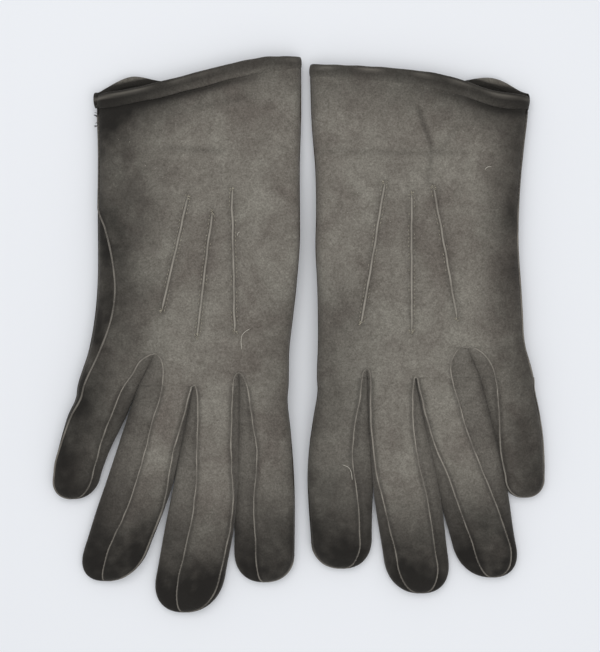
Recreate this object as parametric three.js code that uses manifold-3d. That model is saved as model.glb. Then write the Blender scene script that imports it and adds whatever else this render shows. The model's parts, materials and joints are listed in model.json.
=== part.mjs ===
// A pair of gentlemen's unlined suede dress gloves, lying palm down side by side.
//
// Millimetres, +Z up. The cuffs point along +Y and the fingers along -Y; the right-hand glove lies
// at -X and the left-hand glove at +X, with the two index fingers next to each other. Each glove is
// laid out in its own plan: "out" is the distance from the line between the gloves towards the
// little finger, and "along" is the distance towards the cuff. The origin is at the middle of the
// pair's underside.
//
// A glove is cut as one trank, which is folded round the index finger's side and closed along the
// little finger's side. The trank is modelled as its back and palm panels, with the fold and the
// side seam as walls between them, and it is parted at the knuckle line, where the fingers bend.
import * as THREE from "three";
import Module from "manifold-3d";
import { mergeVertices } from "three/addons/utils/BufferGeometryUtils.js";

const wasm = await Module();
wasm.setup();

const SKIN = 0.9; // thickness of the leather
const SEAM = 0.3; // room left between two pieces that are sewn together
const LIFT = 4.6; // height of the palm above the table, where the thumb lies folded under it
const HAND_DEPTH = 9.5; // thickness of the empty glove over the palm
const TIP_DEPTH = 3.4; // thickness at a finger's end
const KNUCKLE_GAP = 1.5; // room on each side of the knuckle line for a finger to bend
const HEM_WIDTH = 5; // width of the turned hem round the cuff
const HEM_THICKNESS = 2.2;
const POINT_WIDTH = 1.6; // a raised point on the back of the hand
const POINT_HEIGHT = 0.9;
const FORK_WIDTH = 1.6; // slit between two fingers at the knuckle line
const SLIT_TIP = 0.4;
const THUMB_DEPTH = 4.0;
const SUEDE = { color: 0x6c6761, roughness: 0.95, metalness: 0 };
const SUEDE_SIDE = { color: 0x55514c, roughness: 0.95, metalness: 0 };
const SUEDE_EDGE = { color: 0x8b867c, roughness: 0.9, metalness: 0 };

// Places are [out, along] in a glove's plan. Edges are listed along the glove as [along, out], from
// the knuckles to the cuff, and the cuff's own edges across it as [out, along]. A finger has the
// middle of its root on the knuckle line, a place half way, its tip, its width at root, middle and
// end, and how far its back panel stays inside its outline on the index finger's side (near) and
// on the little finger's side (far), at root and end.
const GLOVES = {
  right: {
    side: -1,
    knuckles: -29,
    nearEdge: [[-29, 8.8], [-12, 9.1], [0, 7.7], [11, 6.2], [24, 3.6], [45, 2], [85, 2.6], [134, 2.4]],
    farEdge: [[-29, 111], [-12, 105.1], [0, 102.2], [22, 100], [55, 100.2], [85, 99.8], [134, 102]],
    backCuff: [[0, 132.7], [22, 132], [40, 128], [70, 120.3], [104, 113.4]],
    palmCuff: [[0, 132.7], [22, 132], [40, 128], [66, 121], [78, 124], [92, 120.5], [104, 113.4]],
    fingers: {
      index: {
        root: 20.6, middle: [19.6, -74], tip: [20.4, -120.2], widths: [22.4, 27.4, 28.6],
        near: [0, 0], far: [5.5, 8.5],
      },
      middle: {
        root: 43.8, middle: [49, -80], tip: [59.2, -134.2], widths: [22.2, 29.6, 32],
        near: [3.5, 3], far: [2.5, 10.5],
      },
      ring: {
        root: 68.8, middle: [80.4, -73], tip: [97.5, -118.6], widths: [25.6, 29, 29],
        near: [2.5, 4], far: [11.5, 12],
      },
      little: {
        root: 96.8, middle: [105.6, -50.5], tip: [114.2, -79.4], widths: [26.6, 23.4, 22],
        near: [1.5, 5.5], far: [1.5, 2],
      },
    },
    forks: [
      { from: "index", to: "middle", along: -19.4 },
      { from: "ring", to: "little", along: -9.3 },
    ],
    slit: { from: "middle", to: "ring", along: -24.9 },
    points: [
      { name: "index_point", cuff: [35.5, 68.4], knuckle: [34, 0.8] },
      { name: "middle_point", cuff: [44.6, 57.4], knuckle: [52.3, -1.7] },
      { name: "ring_point", cuff: [56.2, 64.6], knuckle: [69, 10.8] },
    ],
    thumb: { root: [25, 47], middle: [30, 10], tip: [35, -24], widths: [33, 32, 27] },
  },
  left: {
    side: 1,
    knuckles: -25,
    nearEdge: [[-25, 4.8], [-5, 4.8], [16, 4.3], [34, 2.9], [74, 2.9], [97, 1.9], [134, 2.4]],
    farEdge: [[-25, 110], [-6.5, 104.6], [10, 103.7], [48, 101.4], [80, 103.2], [97, 105.6], [134, 107.4]],
    backCuff: [[0, 128.9], [27, 127.9], [51, 126], [71, 122.1], [90, 116], [101, 113], [108, 114]],
    palmCuff: [[0, 128.9], [27, 127.9], [51, 126], [70, 121.5], [86, 123], [100, 120.2], [108, 114]],
    fingers: {
      index: {
        root: 17.2, middle: [15.9, -70], tip: [17.4, -113.6], widths: [23.6, 30.6, 29],
        near: [0, 0], far: [3, 6.5],
      },
      middle: {
        root: 41.2, middle: [48.2, -76], tip: [55.2, -125.2], widths: [22.4, 29.4, 30],
        near: [1.5, 5.4], far: [2, 7],
      },
      ring: {
        root: 68.8, middle: [78.4, -71], tip: [89.8, -117.2], widths: [29.4, 30.6, 29.4],
        near: [1.5, 7], far: [13.5, 2.5],
      },
      little: {
        root: 97.6, middle: [103, -52], tip: [105.2, -79.2], widths: [23, 21.4, 19.8],
        near: [2.5, 2.5], far: [3.5, 3.5],
      },
    },
    forks: [
      { from: "index", to: "middle", along: -16.6 },
      { from: "ring", to: "little", along: -6 },
    ],
    slit: { from: "middle", to: "ring", along: -20.4 },
    points: [
      { name: "index_point", cuff: [37.4, 71.3], knuckle: [26, 4.6] },
      { name: "middle_point", cuff: [50, 66], knuckle: [50, 0.7] },
      { name: "ring_point", cuff: [60.5, 69.4], knuckle: [72, 7] },
    ],
    thumb: { root: [22, 51], middle: [27, 14], tip: [32, -20], widths: [33, 32, 27] },
  },
};

const smooth = (t) => THREE.MathUtils.smoothstep(t, 0, 1);

// A smooth curve through a few pairs, as a function of the first number of each pair.
function profile(pairs) {
  const curve = new THREE.CubicInterpolant(pairs.map((p) => p[0]), pairs.map((p) => p[1]), 1);
  return (x) => curve.evaluate(x)[0];
}

// How high the glove's underside lies: on the table at the cuff, and raised over the thumb, less so
// towards the little finger.
const DRAPE_FROM = 112;
const DRAPE_LENGTH = 65;
const SPREAD_FROM = 38;
const SPREAD_WIDTH = 60;
const SPREAD_DROP = 0.6;
const droop = (out) => 1 - SPREAD_DROP * smooth((out - SPREAD_FROM) / SPREAD_WIDTH);
const underside = (out, along) => LIFT * smooth((DRAPE_FROM - along) / DRAPE_LENGTH) * droop(out);

// A sheet of leather as one closed solid: a grid of places for its under face, the same for its
// over face, and the rim between them.
function sheet(rows, columns, under, over) {
  const positions = [];
  for (const face of [under, over])
    for (let i = 0; i <= rows; i++)
      for (let j = 0; j <= columns; j++) positions.push(...face(i, j).toArray());
  const at = (face, i, j) => (face * (rows + 1) + i) * (columns + 1) + j;
  const index = [];
  const quad = (a, b, c, d) => index.push(a, b, c, a, c, d);
  for (let i = 0; i < rows; i++)
    for (let j = 0; j < columns; j++) {
      quad(at(0, i, j), at(0, i, j + 1), at(0, i + 1, j + 1), at(0, i + 1, j));
      quad(at(1, i, j), at(1, i + 1, j), at(1, i + 1, j + 1), at(1, i, j + 1));
    }
  const rim = [];
  for (let j = 0; j < columns; j++) rim.push([0, j]);
  for (let i = 0; i < rows; i++) rim.push([i, columns]);
  for (let j = columns; j > 0; j--) rim.push([rows, j]);
  for (let i = rows; i > 0; i--) rim.push([i, 0]);
  rim.forEach(([i, j], n) => {
    const [k, l] = rim[(n + 1) % rim.length];
    quad(at(0, k, l), at(0, i, j), at(1, i, j), at(1, k, l));
  });
  return facingOut(positions, index);
}

// The geometry with its faces pointing out, whichever hand it was laid out for.
function facingOut(positions, index) {
  const corner = (n) => new THREE.Vector3().fromArray(positions, 3 * index[n]);
  let volume = 0;
  for (let n = 0; n < index.length; n += 3)
    volume += corner(n).dot(corner(n + 1).cross(corner(n + 2)));
  if (volume < 0)
    for (let n = 0; n < index.length; n += 3) [index[n], index[n + 1]] = [index[n + 1], index[n]];
  return new THREE.BufferGeometry()
    .setAttribute("position", new THREE.Float32BufferAttribute(positions, 3))
    .setIndex(index);
}

function solid(geometry) {
  const bare = geometry.clone();
  bare.deleteAttribute("normal");
  bare.deleteAttribute("uv");
  const merged = mergeVertices(bare);
  return new wasm.Manifold(new wasm.Mesh({
    numProp: 3,
    vertProperties: merged.attributes.position.array,
    triVerts: new Uint32Array(merged.index.array),
  }));
}

// What is left of a geometry when other solids are cut out of it.
function cut(geometry, ...tools) {
  const left = tools.reduce((body, tool) => body.subtract(solid(tool)), solid(geometry)).getMesh();
  return new THREE.BufferGeometry()
    .setAttribute("position", new THREE.BufferAttribute(left.vertProperties, 3))
    .setIndex(new THREE.BufferAttribute(left.triVerts, 1));
}

// An upright cutter: a plan outline extruded from under the glove to over it.
function cutter(side, outline) {
  const shape = new THREE.Shape(outline.map(([out, along]) => new THREE.Vector2(side * out, along)));
  const height = 4 * HAND_DEPTH;
  const geometry = new THREE.ExtrudeGeometry(shape, { depth: height, bevelEnabled: false });
  return geometry.translate(0, 0, -HAND_DEPTH);
}

function addMesh(parent, name, geometry, finish = SUEDE) {
  const mesh = new THREE.Mesh(geometry, new THREE.MeshStandardMaterial(finish));
  mesh.name = name;
  parent.add(mesh);
}

// A finger's plan: at each station its middle, the direction across it, its width, and how far
// along it the station lies, from 0 to 1. The end is rounded as half an ellipse.
const ROUND_SHARE = 0.56; // length of the rounded end, in widths
const STRAIGHT_STATIONS = 6;
const ROUND_ANGLES = [20, 40, 58, 78];
const SQUARE_SHARE = 0.3; // the share of the length in which the stations turn square to the finger
function fingerStations(plan, start) {
  const line = new THREE.SplineCurve([start, plan.middle, plan.tip].map((p) => new THREE.Vector2(...p)));
  const length = line.getLength();
  const round = (ROUND_SHARE * plan.widths[2]) / length;
  const [rootWidth, middleWidth, endWidth] = plan.widths;
  const width = profile([[0, rootWidth], [0.45, middleWidth], [0.8, endWidth], [1, endWidth]]);
  const station = (share, narrowing) => {
    const tangent = line.getTangentAt(share);
    const turn = Math.atan2(tangent.x, -tangent.y) * smooth(share / SQUARE_SHARE);
    return {
      share,
      middle: line.getPointAt(share),
      across: new THREE.Vector2(Math.cos(turn), Math.sin(turn)),
      width: width(share) * narrowing,
    };
  };
  const stations = [];
  for (let n = 0; n <= STRAIGHT_STATIONS; n++)
    stations.push(station(((1 - round) * n) / STRAIGHT_STATIONS, 1));
  for (const angle of ROUND_ANGLES) {
    const a = THREE.MathUtils.degToRad(angle);
    stations.push(station(1 - round + round * Math.sin(a), Math.cos(a)));
  }
  return stations;
}

// The four pieces of a finger: palm and back panels, and the strips between them on its two sides.
const FULL_SHARE = 0.75; // a finger keeps most of its thickness as far as this
const FULL_DEPTH = 7.4;
const STRIP_ENDS_BEFORE = 2; // stations at the end with no room for a strip
function fingerPieces(side, stations, floor, depth, near, far) {
  const rows = stations.length - 1;
  const place = (s, across, z) =>
    new THREE.Vector3(side * (s.middle.x + s.across.x * across), s.middle.y + s.across.y * across, z);
  const inset = (pair, s) => Math.min(THREE.MathUtils.lerp(...pair, s.share), 0.42 * s.width);
  const nearEdge = (s) => -s.width / 2;
  const farEdge = (s) => s.width / 2;
  const palmAt = (lift) => (i, j) => {
    const s = stations[i];
    return place(s, THREE.MathUtils.lerp(nearEdge(s), farEdge(s), j / 2), floor(s.share) + lift);
  };
  const backAt = (drop) => (i, j) => {
    const s = stations[i];
    const from = nearEdge(s) + inset(near, s);
    const to = farEdge(s) - inset(far, s);
    return place(s, THREE.MathUtils.lerp(from, to, j / 2), floor(s.share) + depth(s.share) - drop);
  };
  const stripAt = (edge, sign, pair, thickness) => (i, j) => {
    const s = stations[i];
    const low = floor(s.share) + SKIN + SEAM;
    const high = floor(s.share) + depth(s.share) - SKIN - SEAM;
    const across = edge(s) + sign * (inset(pair, s) * j + thickness);
    return place(s, across, THREE.MathUtils.lerp(low, high, j));
  };
  const stripRows = rows - STRIP_ENDS_BEFORE;
  return {
    palm: sheet(rows, 2, palmAt(0), palmAt(SKIN)),
    back: sheet(rows, 2, backAt(SKIN), backAt(0)),
    near: sheet(stripRows, 1, stripAt(nearEdge, 1, near, 0), stripAt(nearEdge, 1, near, SKIN)),
    far: sheet(stripRows, 1, stripAt(farEdge, -1, far, 0), stripAt(farEdge, -1, far, SKIN)),
  };
}

// The two strips of each finger. The index finger's near side is the trank's fold, and the little
// finger's far side is the side seam; all the others are fourchettes.
const STRIP_NAMES = {
  index: { near: "index_fold", far: "index_fourchette" },
  middle: { near: "middle_fourchette_near", far: "middle_fourchette_far" },
  ring: { near: "ring_fourchette_near", far: "ring_fourchette_far" },
  little: { near: "little_fourchette", far: "little_side_seam" },
};
function addFinger(parent, hand, glove, finger) {
  const plan = glove.fingers[finger];
  const start = [plan.root, glove.knuckles - KNUCKLE_GAP];
  const stations = fingerStations(plan, start);
  const rootHeight = underside(plan.root, glove.knuckles);
  const floor = (share) => rootHeight * (1 - share);
  const depth = (share) =>
    share < FULL_SHARE
      ? THREE.MathUtils.mapLinear(share, 0, FULL_SHARE, HAND_DEPTH, FULL_DEPTH)
      : THREE.MathUtils.mapLinear(share, FULL_SHARE, 1, FULL_DEPTH, TIP_DEPTH);
  const pieces = fingerPieces(glove.side, stations, floor, depth, plan.near, plan.far);
  addMesh(parent, `${hand}_${finger}_back_panel`, pieces.back);
  addMesh(parent, `${hand}_${finger}_palm_panel`, pieces.palm);
  addMesh(parent, `${hand}_${STRIP_NAMES[finger].near}`, pieces.near, SUEDE_SIDE);
  addMesh(parent, `${hand}_${STRIP_NAMES[finger].far}`, pieces.far, SUEDE_SIDE);
}

// Where the gap between two neighbouring fingers crosses the knuckle line.
function parting(glove, from, to) {
  const a = glove.fingers[from];
  const b = glove.fingers[to];
  return (a.root + a.widths[0] / 2 + b.root - b.widths[0] / 2) / 2;
}

// The slit between two fingers, as a plan outline from the fork to past the knuckle line.
function slitOutline(glove, slit, near, far) {
  const middle = parting(glove, slit.from, slit.to);
  const past = glove.knuckles - 1;
  const tip = SLIT_TIP / 2;
  return [[middle - near, past], [middle + far, past], [middle + tip, slit.along], [middle - tip, slit.along]];
}

const HAND_LEVELS = [100, 80, 60, 40, 18, -4]; // rows of the hand's panels between cuff and knuckles
const CUFF_LEVEL = 115; // where the hem lies, near enough to find the width of the cuff
const HAND_COLUMNS = 6;
const THUMB_HOLE = { length: 34, width: 24 };
const THUMB_BASE = { length: 29, width: 20, columns: 4 };
function addHand(parent, hand, glove) {
  const nearEdge = profile(glove.nearEdge);
  const farEdge = profile(glove.farEdge);
  const end = glove.knuckles + KNUCKLE_GAP;
  const levels = [...HAND_LEVELS, end];
  const place = (out, along, z) => new THREE.Vector3(glove.side * out, along, underside(out, along) + z);
  const rowAt = (cuff, share, i) => {
    const level = i === 0 ? CUFF_LEVEL : levels[i - 1];
    const out = THREE.MathUtils.lerp(nearEdge(level), farEdge(level), share);
    return [out, i === 0 ? cuff(out) - HEM_WIDTH - SEAM : level];
  };
  const panelAt = (cuff, z) => (i, j) => {
    const [out, along] = rowAt(cuff, j / HAND_COLUMNS, i);
    return place(out, along, z);
  };
  const backCuff = profile(glove.backCuff);
  const palmCuff = profile(glove.palmCuff);
  const hemLift = (HEM_THICKNESS - SKIN) / 2; // keeps the hem, which is thicker, off the table too

  const backHeight = HAND_DEPTH - SKIN;
  const slits = [...glove.forks, glove.slit];
  const backSlits = slits.map((slit) => {
    const near = glove.fingers[slit.from].far[0];
    const far = glove.fingers[slit.to].near[0];
    return cutter(glove.side, slitOutline(glove, slit, near, far));
  });
  const palmSlits = slits.map((slit) =>
    cutter(glove.side, slitOutline(glove, slit, FORK_WIDTH / 2, FORK_WIDTH / 2)));
  const rows = levels.length;
  const back = sheet(rows, HAND_COLUMNS, panelAt(backCuff, backHeight), panelAt(backCuff, HAND_DEPTH));
  addMesh(parent, `${hand}_back_panel`, cut(back, ...backSlits));

  const [thumbOut, thumbAlong] = glove.thumb.root;
  const hole = new THREE.EllipseCurve(thumbOut, thumbAlong, THUMB_HOLE.width / 2, THUMB_HOLE.length / 2)
    .getPoints(16).slice(0, -1).map((p) => [p.x, p.y]);
  const palm = sheet(rows, HAND_COLUMNS, panelAt(palmCuff, 0), panelAt(palmCuff, SKIN));
  addMesh(parent, `${hand}_palm_panel`, cut(palm, ...palmSlits, cutter(glove.side, hole)));

  // The walls along the two sides, from the hem to the knuckle line.
  const wallAt = (edge, sign, thickness) => (i, j) => {
    const level = i === 0 ? backCuff(edge(CUFF_LEVEL)) - HEM_WIDTH - SEAM : levels[i - 1];
    const out = edge(level);
    const z = j === 0 ? SKIN + SEAM : HAND_DEPTH - SKIN - SEAM;
    return new THREE.Vector3(glove.side * (out + sign * thickness), level, underside(out, level) + z);
  };
  addMesh(parent, `${hand}_trank_fold`,
    sheet(rows, 1, wallAt(nearEdge, 1, 0), wallAt(nearEdge, 1, SKIN)), SUEDE_SIDE);
  addMesh(parent, `${hand}_side_seam`,
    sheet(rows, 1, wallAt(farEdge, -1, 0), wallAt(farEdge, -1, SKIN)), SUEDE_SIDE);

  // The turned hem round the cuff, on the back and on the palm side.
  const hemAt = (cuff, z) => (i, j) => {
    const out = THREE.MathUtils.lerp(nearEdge(CUFF_LEVEL), farEdge(CUFF_LEVEL), j / HAND_COLUMNS);
    return place(out, cuff(out) - HEM_WIDTH * (1 - i), z);
  };
  const backHem = HAND_DEPTH + hemLift;
  addMesh(parent, `${hand}_cuff_hem_back`,
    sheet(1, HAND_COLUMNS, hemAt(backCuff, backHem - HEM_THICKNESS), hemAt(backCuff, backHem)),
    SUEDE_SIDE);
  addMesh(parent, `${hand}_cuff_hem_palm`,
    sheet(1, HAND_COLUMNS, hemAt(palmCuff, -hemLift), hemAt(palmCuff, HEM_THICKNESS - hemLift)),
    SUEDE_SIDE);

  // The three raised points on the back, each with a step at every level of the panel it lies on.
  for (const { name, cuff, knuckle } of glove.points) {
    const between = HAND_LEVELS.filter((level) => level < cuff[1] && level > knuckle[1]);
    const steps = [cuff[1], ...between, knuckle[1]];
    const pointAt = (z) => (i, j) => {
      const share = (steps[i] - cuff[1]) / (knuckle[1] - cuff[1]);
      const out = THREE.MathUtils.lerp(cuff[0], knuckle[0], share);
      return place(out + (j - 0.5) * POINT_WIDTH, steps[i], HAND_DEPTH + SEAM + z);
    };
    const ridge = sheet(steps.length - 1, 1, pointAt(0), pointAt(POINT_HEIGHT));
    addMesh(parent, `${hand}_${name}`, ridge, SUEDE_EDGE);
  }

  // Where two fourchettes meet in a fork, they close the hand between two fingers.
  for (const fork of glove.forks) {
    const middle = parting(glove, fork.from, fork.to);
    const near = glove.fingers[fork.from].far[0];
    const far = glove.fingers[fork.to].near[0];
    const reach = [[-FORK_WIDTH / 2, FORK_WIDTH / 2], [-near, far]];
    const forkAt = (thickness) => (i, j) => {
      const out = i === 0 ? middle : middle + reach[thickness][j];
      const along = i === 0 ? fork.along : end;
      const z = thickness === 0 ? SKIN + SEAM : HAND_DEPTH - SKIN - SEAM;
      const tipped = i === 0 ? (j - 0.5) * SKIN : 0;
      return new THREE.Vector3(glove.side * (out + tipped), along, underside(middle, along) + z);
    };
    addMesh(parent, `${hand}_fork_${fork.from}_${fork.to}`, sheet(1, 1, forkAt(0), forkAt(1)), SUEDE_SIDE);
  }

  // The base of the thumb: a sling under the hole in the palm, which leads down into the thumb.
  const baseAt = (thickness) => (i, j) => {
    const share = i / 2;
    const width = THREE.MathUtils.lerp(THUMB_BASE.width, glove.thumb.widths[0], share);
    const out = thumbOut + (j / THUMB_BASE.columns - 0.5) * width;
    const along = thumbAlong + THUMB_BASE.length * (1 - share) + KNUCKLE_GAP;
    const high = underside(out, along) - SKIN - SEAM;
    return new THREE.Vector3(glove.side * out, along, high * (1 - share) + thickness);
  };
  addMesh(parent, `${hand}_thumb_base`, sheet(2, THUMB_BASE.columns, baseAt(0), baseAt(SKIN)));
}

function addThumb(parent, hand, glove) {
  const [out, along] = glove.thumb.root;
  const stations = fingerStations(glove.thumb, [out, along - KNUCKLE_GAP]);
  const depth = (share) => THREE.MathUtils.lerp(THUMB_DEPTH, TIP_DEPTH, share);
  const pieces = fingerPieces(glove.side, stations, () => 0, depth, [0, 0], [0, 0]);
  addMesh(parent, `${hand}_thumb_upper_panel`, pieces.back);
  addMesh(parent, `${hand}_thumb_lower_panel`, pieces.palm);
}

const gloves = new THREE.Group();
for (const [hand, glove] of Object.entries(GLOVES)) {
  const group = new THREE.Group();
  addHand(group, hand, glove);
  for (const finger of Object.keys(glove.fingers)) addFinger(group, hand, glove, finger);
  addThumb(group, hand, glove);
  gloves.add(group);
}

// The origin goes to the middle of the pair's underside.
const box = new THREE.Box3().setFromObject(gloves);
const middle = box.getCenter(new THREE.Vector3());
gloves.position.set(-middle.x, -middle.y, -box.min.z);

export default gloves;
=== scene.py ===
# %% [markdown]
# # A pair of suede dress gloves
#
# The gloves lie palm down, cuffs away from us and thumbs tucked under the palms. The frame already
# holds every panel as a flat sheet with its hinges. Here the leather gets its softness: rounded
# fingers, sewn seams, raised points, rolled hems and a napped surface.

# %% Load the frame
import bisect
import functools
import json
import math

import bpy
import numpy as np
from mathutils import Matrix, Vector, noise

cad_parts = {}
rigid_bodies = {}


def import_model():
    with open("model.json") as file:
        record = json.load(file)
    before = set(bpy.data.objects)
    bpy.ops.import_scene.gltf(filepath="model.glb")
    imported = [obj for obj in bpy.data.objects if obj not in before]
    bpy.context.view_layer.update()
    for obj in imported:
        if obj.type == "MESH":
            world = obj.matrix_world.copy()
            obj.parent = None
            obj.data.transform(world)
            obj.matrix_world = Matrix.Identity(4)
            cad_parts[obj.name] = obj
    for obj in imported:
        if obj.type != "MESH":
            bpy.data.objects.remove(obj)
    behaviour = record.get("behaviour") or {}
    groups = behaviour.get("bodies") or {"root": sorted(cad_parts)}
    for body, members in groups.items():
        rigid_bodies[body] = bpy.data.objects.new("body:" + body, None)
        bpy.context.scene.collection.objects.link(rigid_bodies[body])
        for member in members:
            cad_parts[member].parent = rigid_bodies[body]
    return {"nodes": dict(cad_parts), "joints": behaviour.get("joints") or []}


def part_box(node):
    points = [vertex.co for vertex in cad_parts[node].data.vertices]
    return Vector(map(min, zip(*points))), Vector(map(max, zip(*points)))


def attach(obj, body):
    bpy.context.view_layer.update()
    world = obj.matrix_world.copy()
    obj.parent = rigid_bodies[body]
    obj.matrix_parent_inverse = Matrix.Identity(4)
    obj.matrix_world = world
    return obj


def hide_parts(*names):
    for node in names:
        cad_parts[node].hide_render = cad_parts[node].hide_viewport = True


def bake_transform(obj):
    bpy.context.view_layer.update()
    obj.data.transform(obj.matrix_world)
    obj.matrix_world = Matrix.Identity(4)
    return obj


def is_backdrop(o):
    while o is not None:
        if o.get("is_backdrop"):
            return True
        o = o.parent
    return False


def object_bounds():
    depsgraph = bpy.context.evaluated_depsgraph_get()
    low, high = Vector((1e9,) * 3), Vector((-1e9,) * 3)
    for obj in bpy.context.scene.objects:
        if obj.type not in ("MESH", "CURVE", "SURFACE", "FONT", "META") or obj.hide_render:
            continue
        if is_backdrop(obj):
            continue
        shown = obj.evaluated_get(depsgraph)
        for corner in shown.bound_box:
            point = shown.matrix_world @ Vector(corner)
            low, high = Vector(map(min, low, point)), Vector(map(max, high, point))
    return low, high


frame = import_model()
cad_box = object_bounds()

# %% [markdown]
# ## Measuring the frame
#
# Every outline of the soft gloves comes from the frame's own panels. A panel is sliced across at
# one level, and the ends of the slice give its two edges there. Both gloves are handled with the
# same code by measuring "out", the distance from the line between them, in place of x.

# %% Slice a panel
MM = 0.001
HANDS = {"right": -1, "left": 1}
FINGERS = ("index", "middle", "ring", "little")


def slice_across(node, y):
    """The lowest and highest x of a panel where the level y cuts its edges."""
    mesh = frame["nodes"][node].data
    points = np.array([v.co for v in mesh.vertices])
    ends = points[np.array([e.vertices[:] for e in mesh.edges])]
    a, b = ends[:, 0], ends[:, 1]
    crossing = (a[:, 1] - y) * (b[:, 1] - y) < 0
    a, b = a[crossing], b[crossing]
    share = (y - a[:, 1]) / (b[:, 1] - a[:, 1])
    x = a[:, 0] + share * (b[:, 0] - a[:, 0])
    return x.min(), x.max()


def edges(hand, node, y):
    """The near and far edge of a panel at the level y, measured out from between the gloves."""
    side = HANDS[hand]
    low, high = slice_across(f"{hand}_{node}", y)
    return (low, high) if side > 0 else (-high, -low)


def curve_through(points):
    """A smooth function through (place, value) pairs, straight on beyond both ends."""
    points = sorted(points)
    xs = [p[0] for p in points]
    ys = [p[1] for p in points]
    slopes = [(ys[i + 1] - ys[i]) / (xs[i + 1] - xs[i]) for i in range(len(xs) - 1)]
    tangents = [slopes[0]] + [(a + b) / 2 for a, b in zip(slopes, slopes[1:])] + [slopes[-1]]

    def value(x):
        if x <= xs[0]:
            return ys[0] + tangents[0] * (x - xs[0])
        if x >= xs[-1]:
            return ys[-1] + tangents[-1] * (x - xs[-1])
        i = bisect.bisect_right(xs, x) - 1
        width = xs[i + 1] - xs[i]
        t = (x - xs[i]) / width
        rise = (1 + 2 * t) * (1 - t) ** 2 * ys[i] + t * t * (3 - 2 * t) * ys[i + 1]
        return rise + width * (t * (1 - t) ** 2 * tangents[i] - t * t * (1 - t) * tangents[i + 1])

    return value


def smooth(t):
    """0 up to 0, 1 from 1 on, and an even swing between them."""
    t = min(max(t, 0), 1)
    return t * t * (3 - 2 * t)


def lerp(a, b, t):
    return a + (b - a) * t


def bell(distance, width):
    """1 at no distance, falling away over the width on both sides."""
    return math.exp(-((distance / width) ** 2))


def fade(distance, reach):
    """1 at no distance, and nothing from the reach on."""
    return 1 - smooth(distance / reach)


# %% [markdown]
# ## The shape of one glove
#
# Four strips run from the cuff to the fingertips, one for each finger. Next to each other they make
# the hand, and below a fork they part. A `Glove` holds the edges of the strips, on the back and on
# the palm, and how high the leather lies at each place.

# %% One glove's plan
START_BEFORE = 3.6 * MM  # the fingers' pieces begin this far before the knuckle line
HEM_WIDTH = 7.6 * MM  # on the back
PALM_HEM_WIDTH = 4.8 * MM
DEPTH = 8.8 * MM  # thickness of the empty glove over the palm
FINGER_DEPTH = 7.6 * MM
LIFT = 4.6 * MM  # the palm lies this high, over the tucked thumb
DRAPE_LENGTH = 65 * MM  # over which it comes down to the table at the cuff
SPREAD_FROM = 38 * MM  # out from here it lies lower, by up to the drop's share
SPREAD_WIDTH = 60 * MM
SPREAD_DROP = 0.6
# How far the leather draws back from the panels' outline beside the index finger.
TRIM = {
    "right": [(-0.12, 0.0), (0.01, 0.0), (0.04, 0.0010), (0.08, 0.0007), (0.10, 0.0), (0.14, 0.0)],
    "left": [(-0.12, 0.0), (-0.03, 0.0), (0.0, 0.0008), (0.03, 0.0014), (0.08, 0.0016), (0.10, 0.0006),
             (0.14, 0.0006)],
}

# The forks on the back in millimetres as (out, y), between index, middle, ring and little: the arch's
# top, then a few points down the seam of the finger nearer the index, and down the other finger's.
FORKS = {
    "right": [
        ((28.5, -18), [(26, -20.5), (24, -27), (22.5, -38), (20, -59), (21.5, -80), (20, -112)],
         [(30.5, -20), (31, -22), (31.5, -31), (32.3, -54), (32, -88), (38, -117)]),
        ((49.7, -24), [(48.5, -27), (48, -33), (48.5, -50), (49, -70), (51.5, -90), (57.5, -116)],
         [(51.5, -26.5), (53.5, -33.5), (57, -46.5), (60, -56), (64, -78), (68, -92), (72, -103)]),
        ((68.7, -9), [(67, -10), (65.2, -13), (64.7, -20), (66, -29), (70.5, -44), (74, -58),
                      (81.5, -81.5), (89.5, -99)],
         [(71.5, -9.8), (76, -13), (79.5, -19), (84, -25.5), (88.5, -36), (94, -50), (99.3, -69)]),
    ],
    "left": [
        ((32.8, -16), [(30.7, -18.5), (30, -23), (29, -32), (26.5, -45), (26, -60), (28, -76), (29.6, -97)],
         [(34.2, -18.5), (34.5, -25), (34.5, -40), (37, -64), (40.5, -80), (46.3, -104)]),
        ((55.6, -20), [(55, -22.5), (54.4, -32), (55, -45), (58, -64), (61.5, -78), (65.3, -101)],
         [(56.8, -23), (59.2, -31), (61.5, -40.5), (65.5, -53.5), (71, -66), (76.5, -81.5), (84.8, -104)]),
        ((80.6, -5.8), [(77.5, -6.3), (74.5, -9.5), (72.7, -16), (74, -23.5), (77, -33.5), (81.5, -48.5),
                        (87, -62.5), (92.5, -75.5), (100.5, -98)],
         [(84, -6.3), (88.5, -9.2), (92.5, -14.8), (94.5, -22.5), (96, -37), (97.3, -57), (99.3, -67.5)]),
    ],
}
FORK_ZONE = 21 * MM  # the forks lie within this distance of the fingers' pieces
SEAM_MARGIN = 0.4 * MM  # a seam stays at least this far in from the finger's outline


class Fork:
    """An arch between two fingers. Its seams are smooth functions of the root of the way down from
    its top, which makes the top round."""

    def __init__(self, top, *sides):
        self.out, self.y = top[0] * MM, top[1] * MM
        self.seams = [curve_through([(0, self.out)] + [(math.sqrt((top[1] - y) * MM), out * MM)
                                                       for out, y in side]) for side in sides]

    def seam(self, side, y):
        return self.seams[side](math.sqrt(max(self.y - y, 0)))


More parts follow.
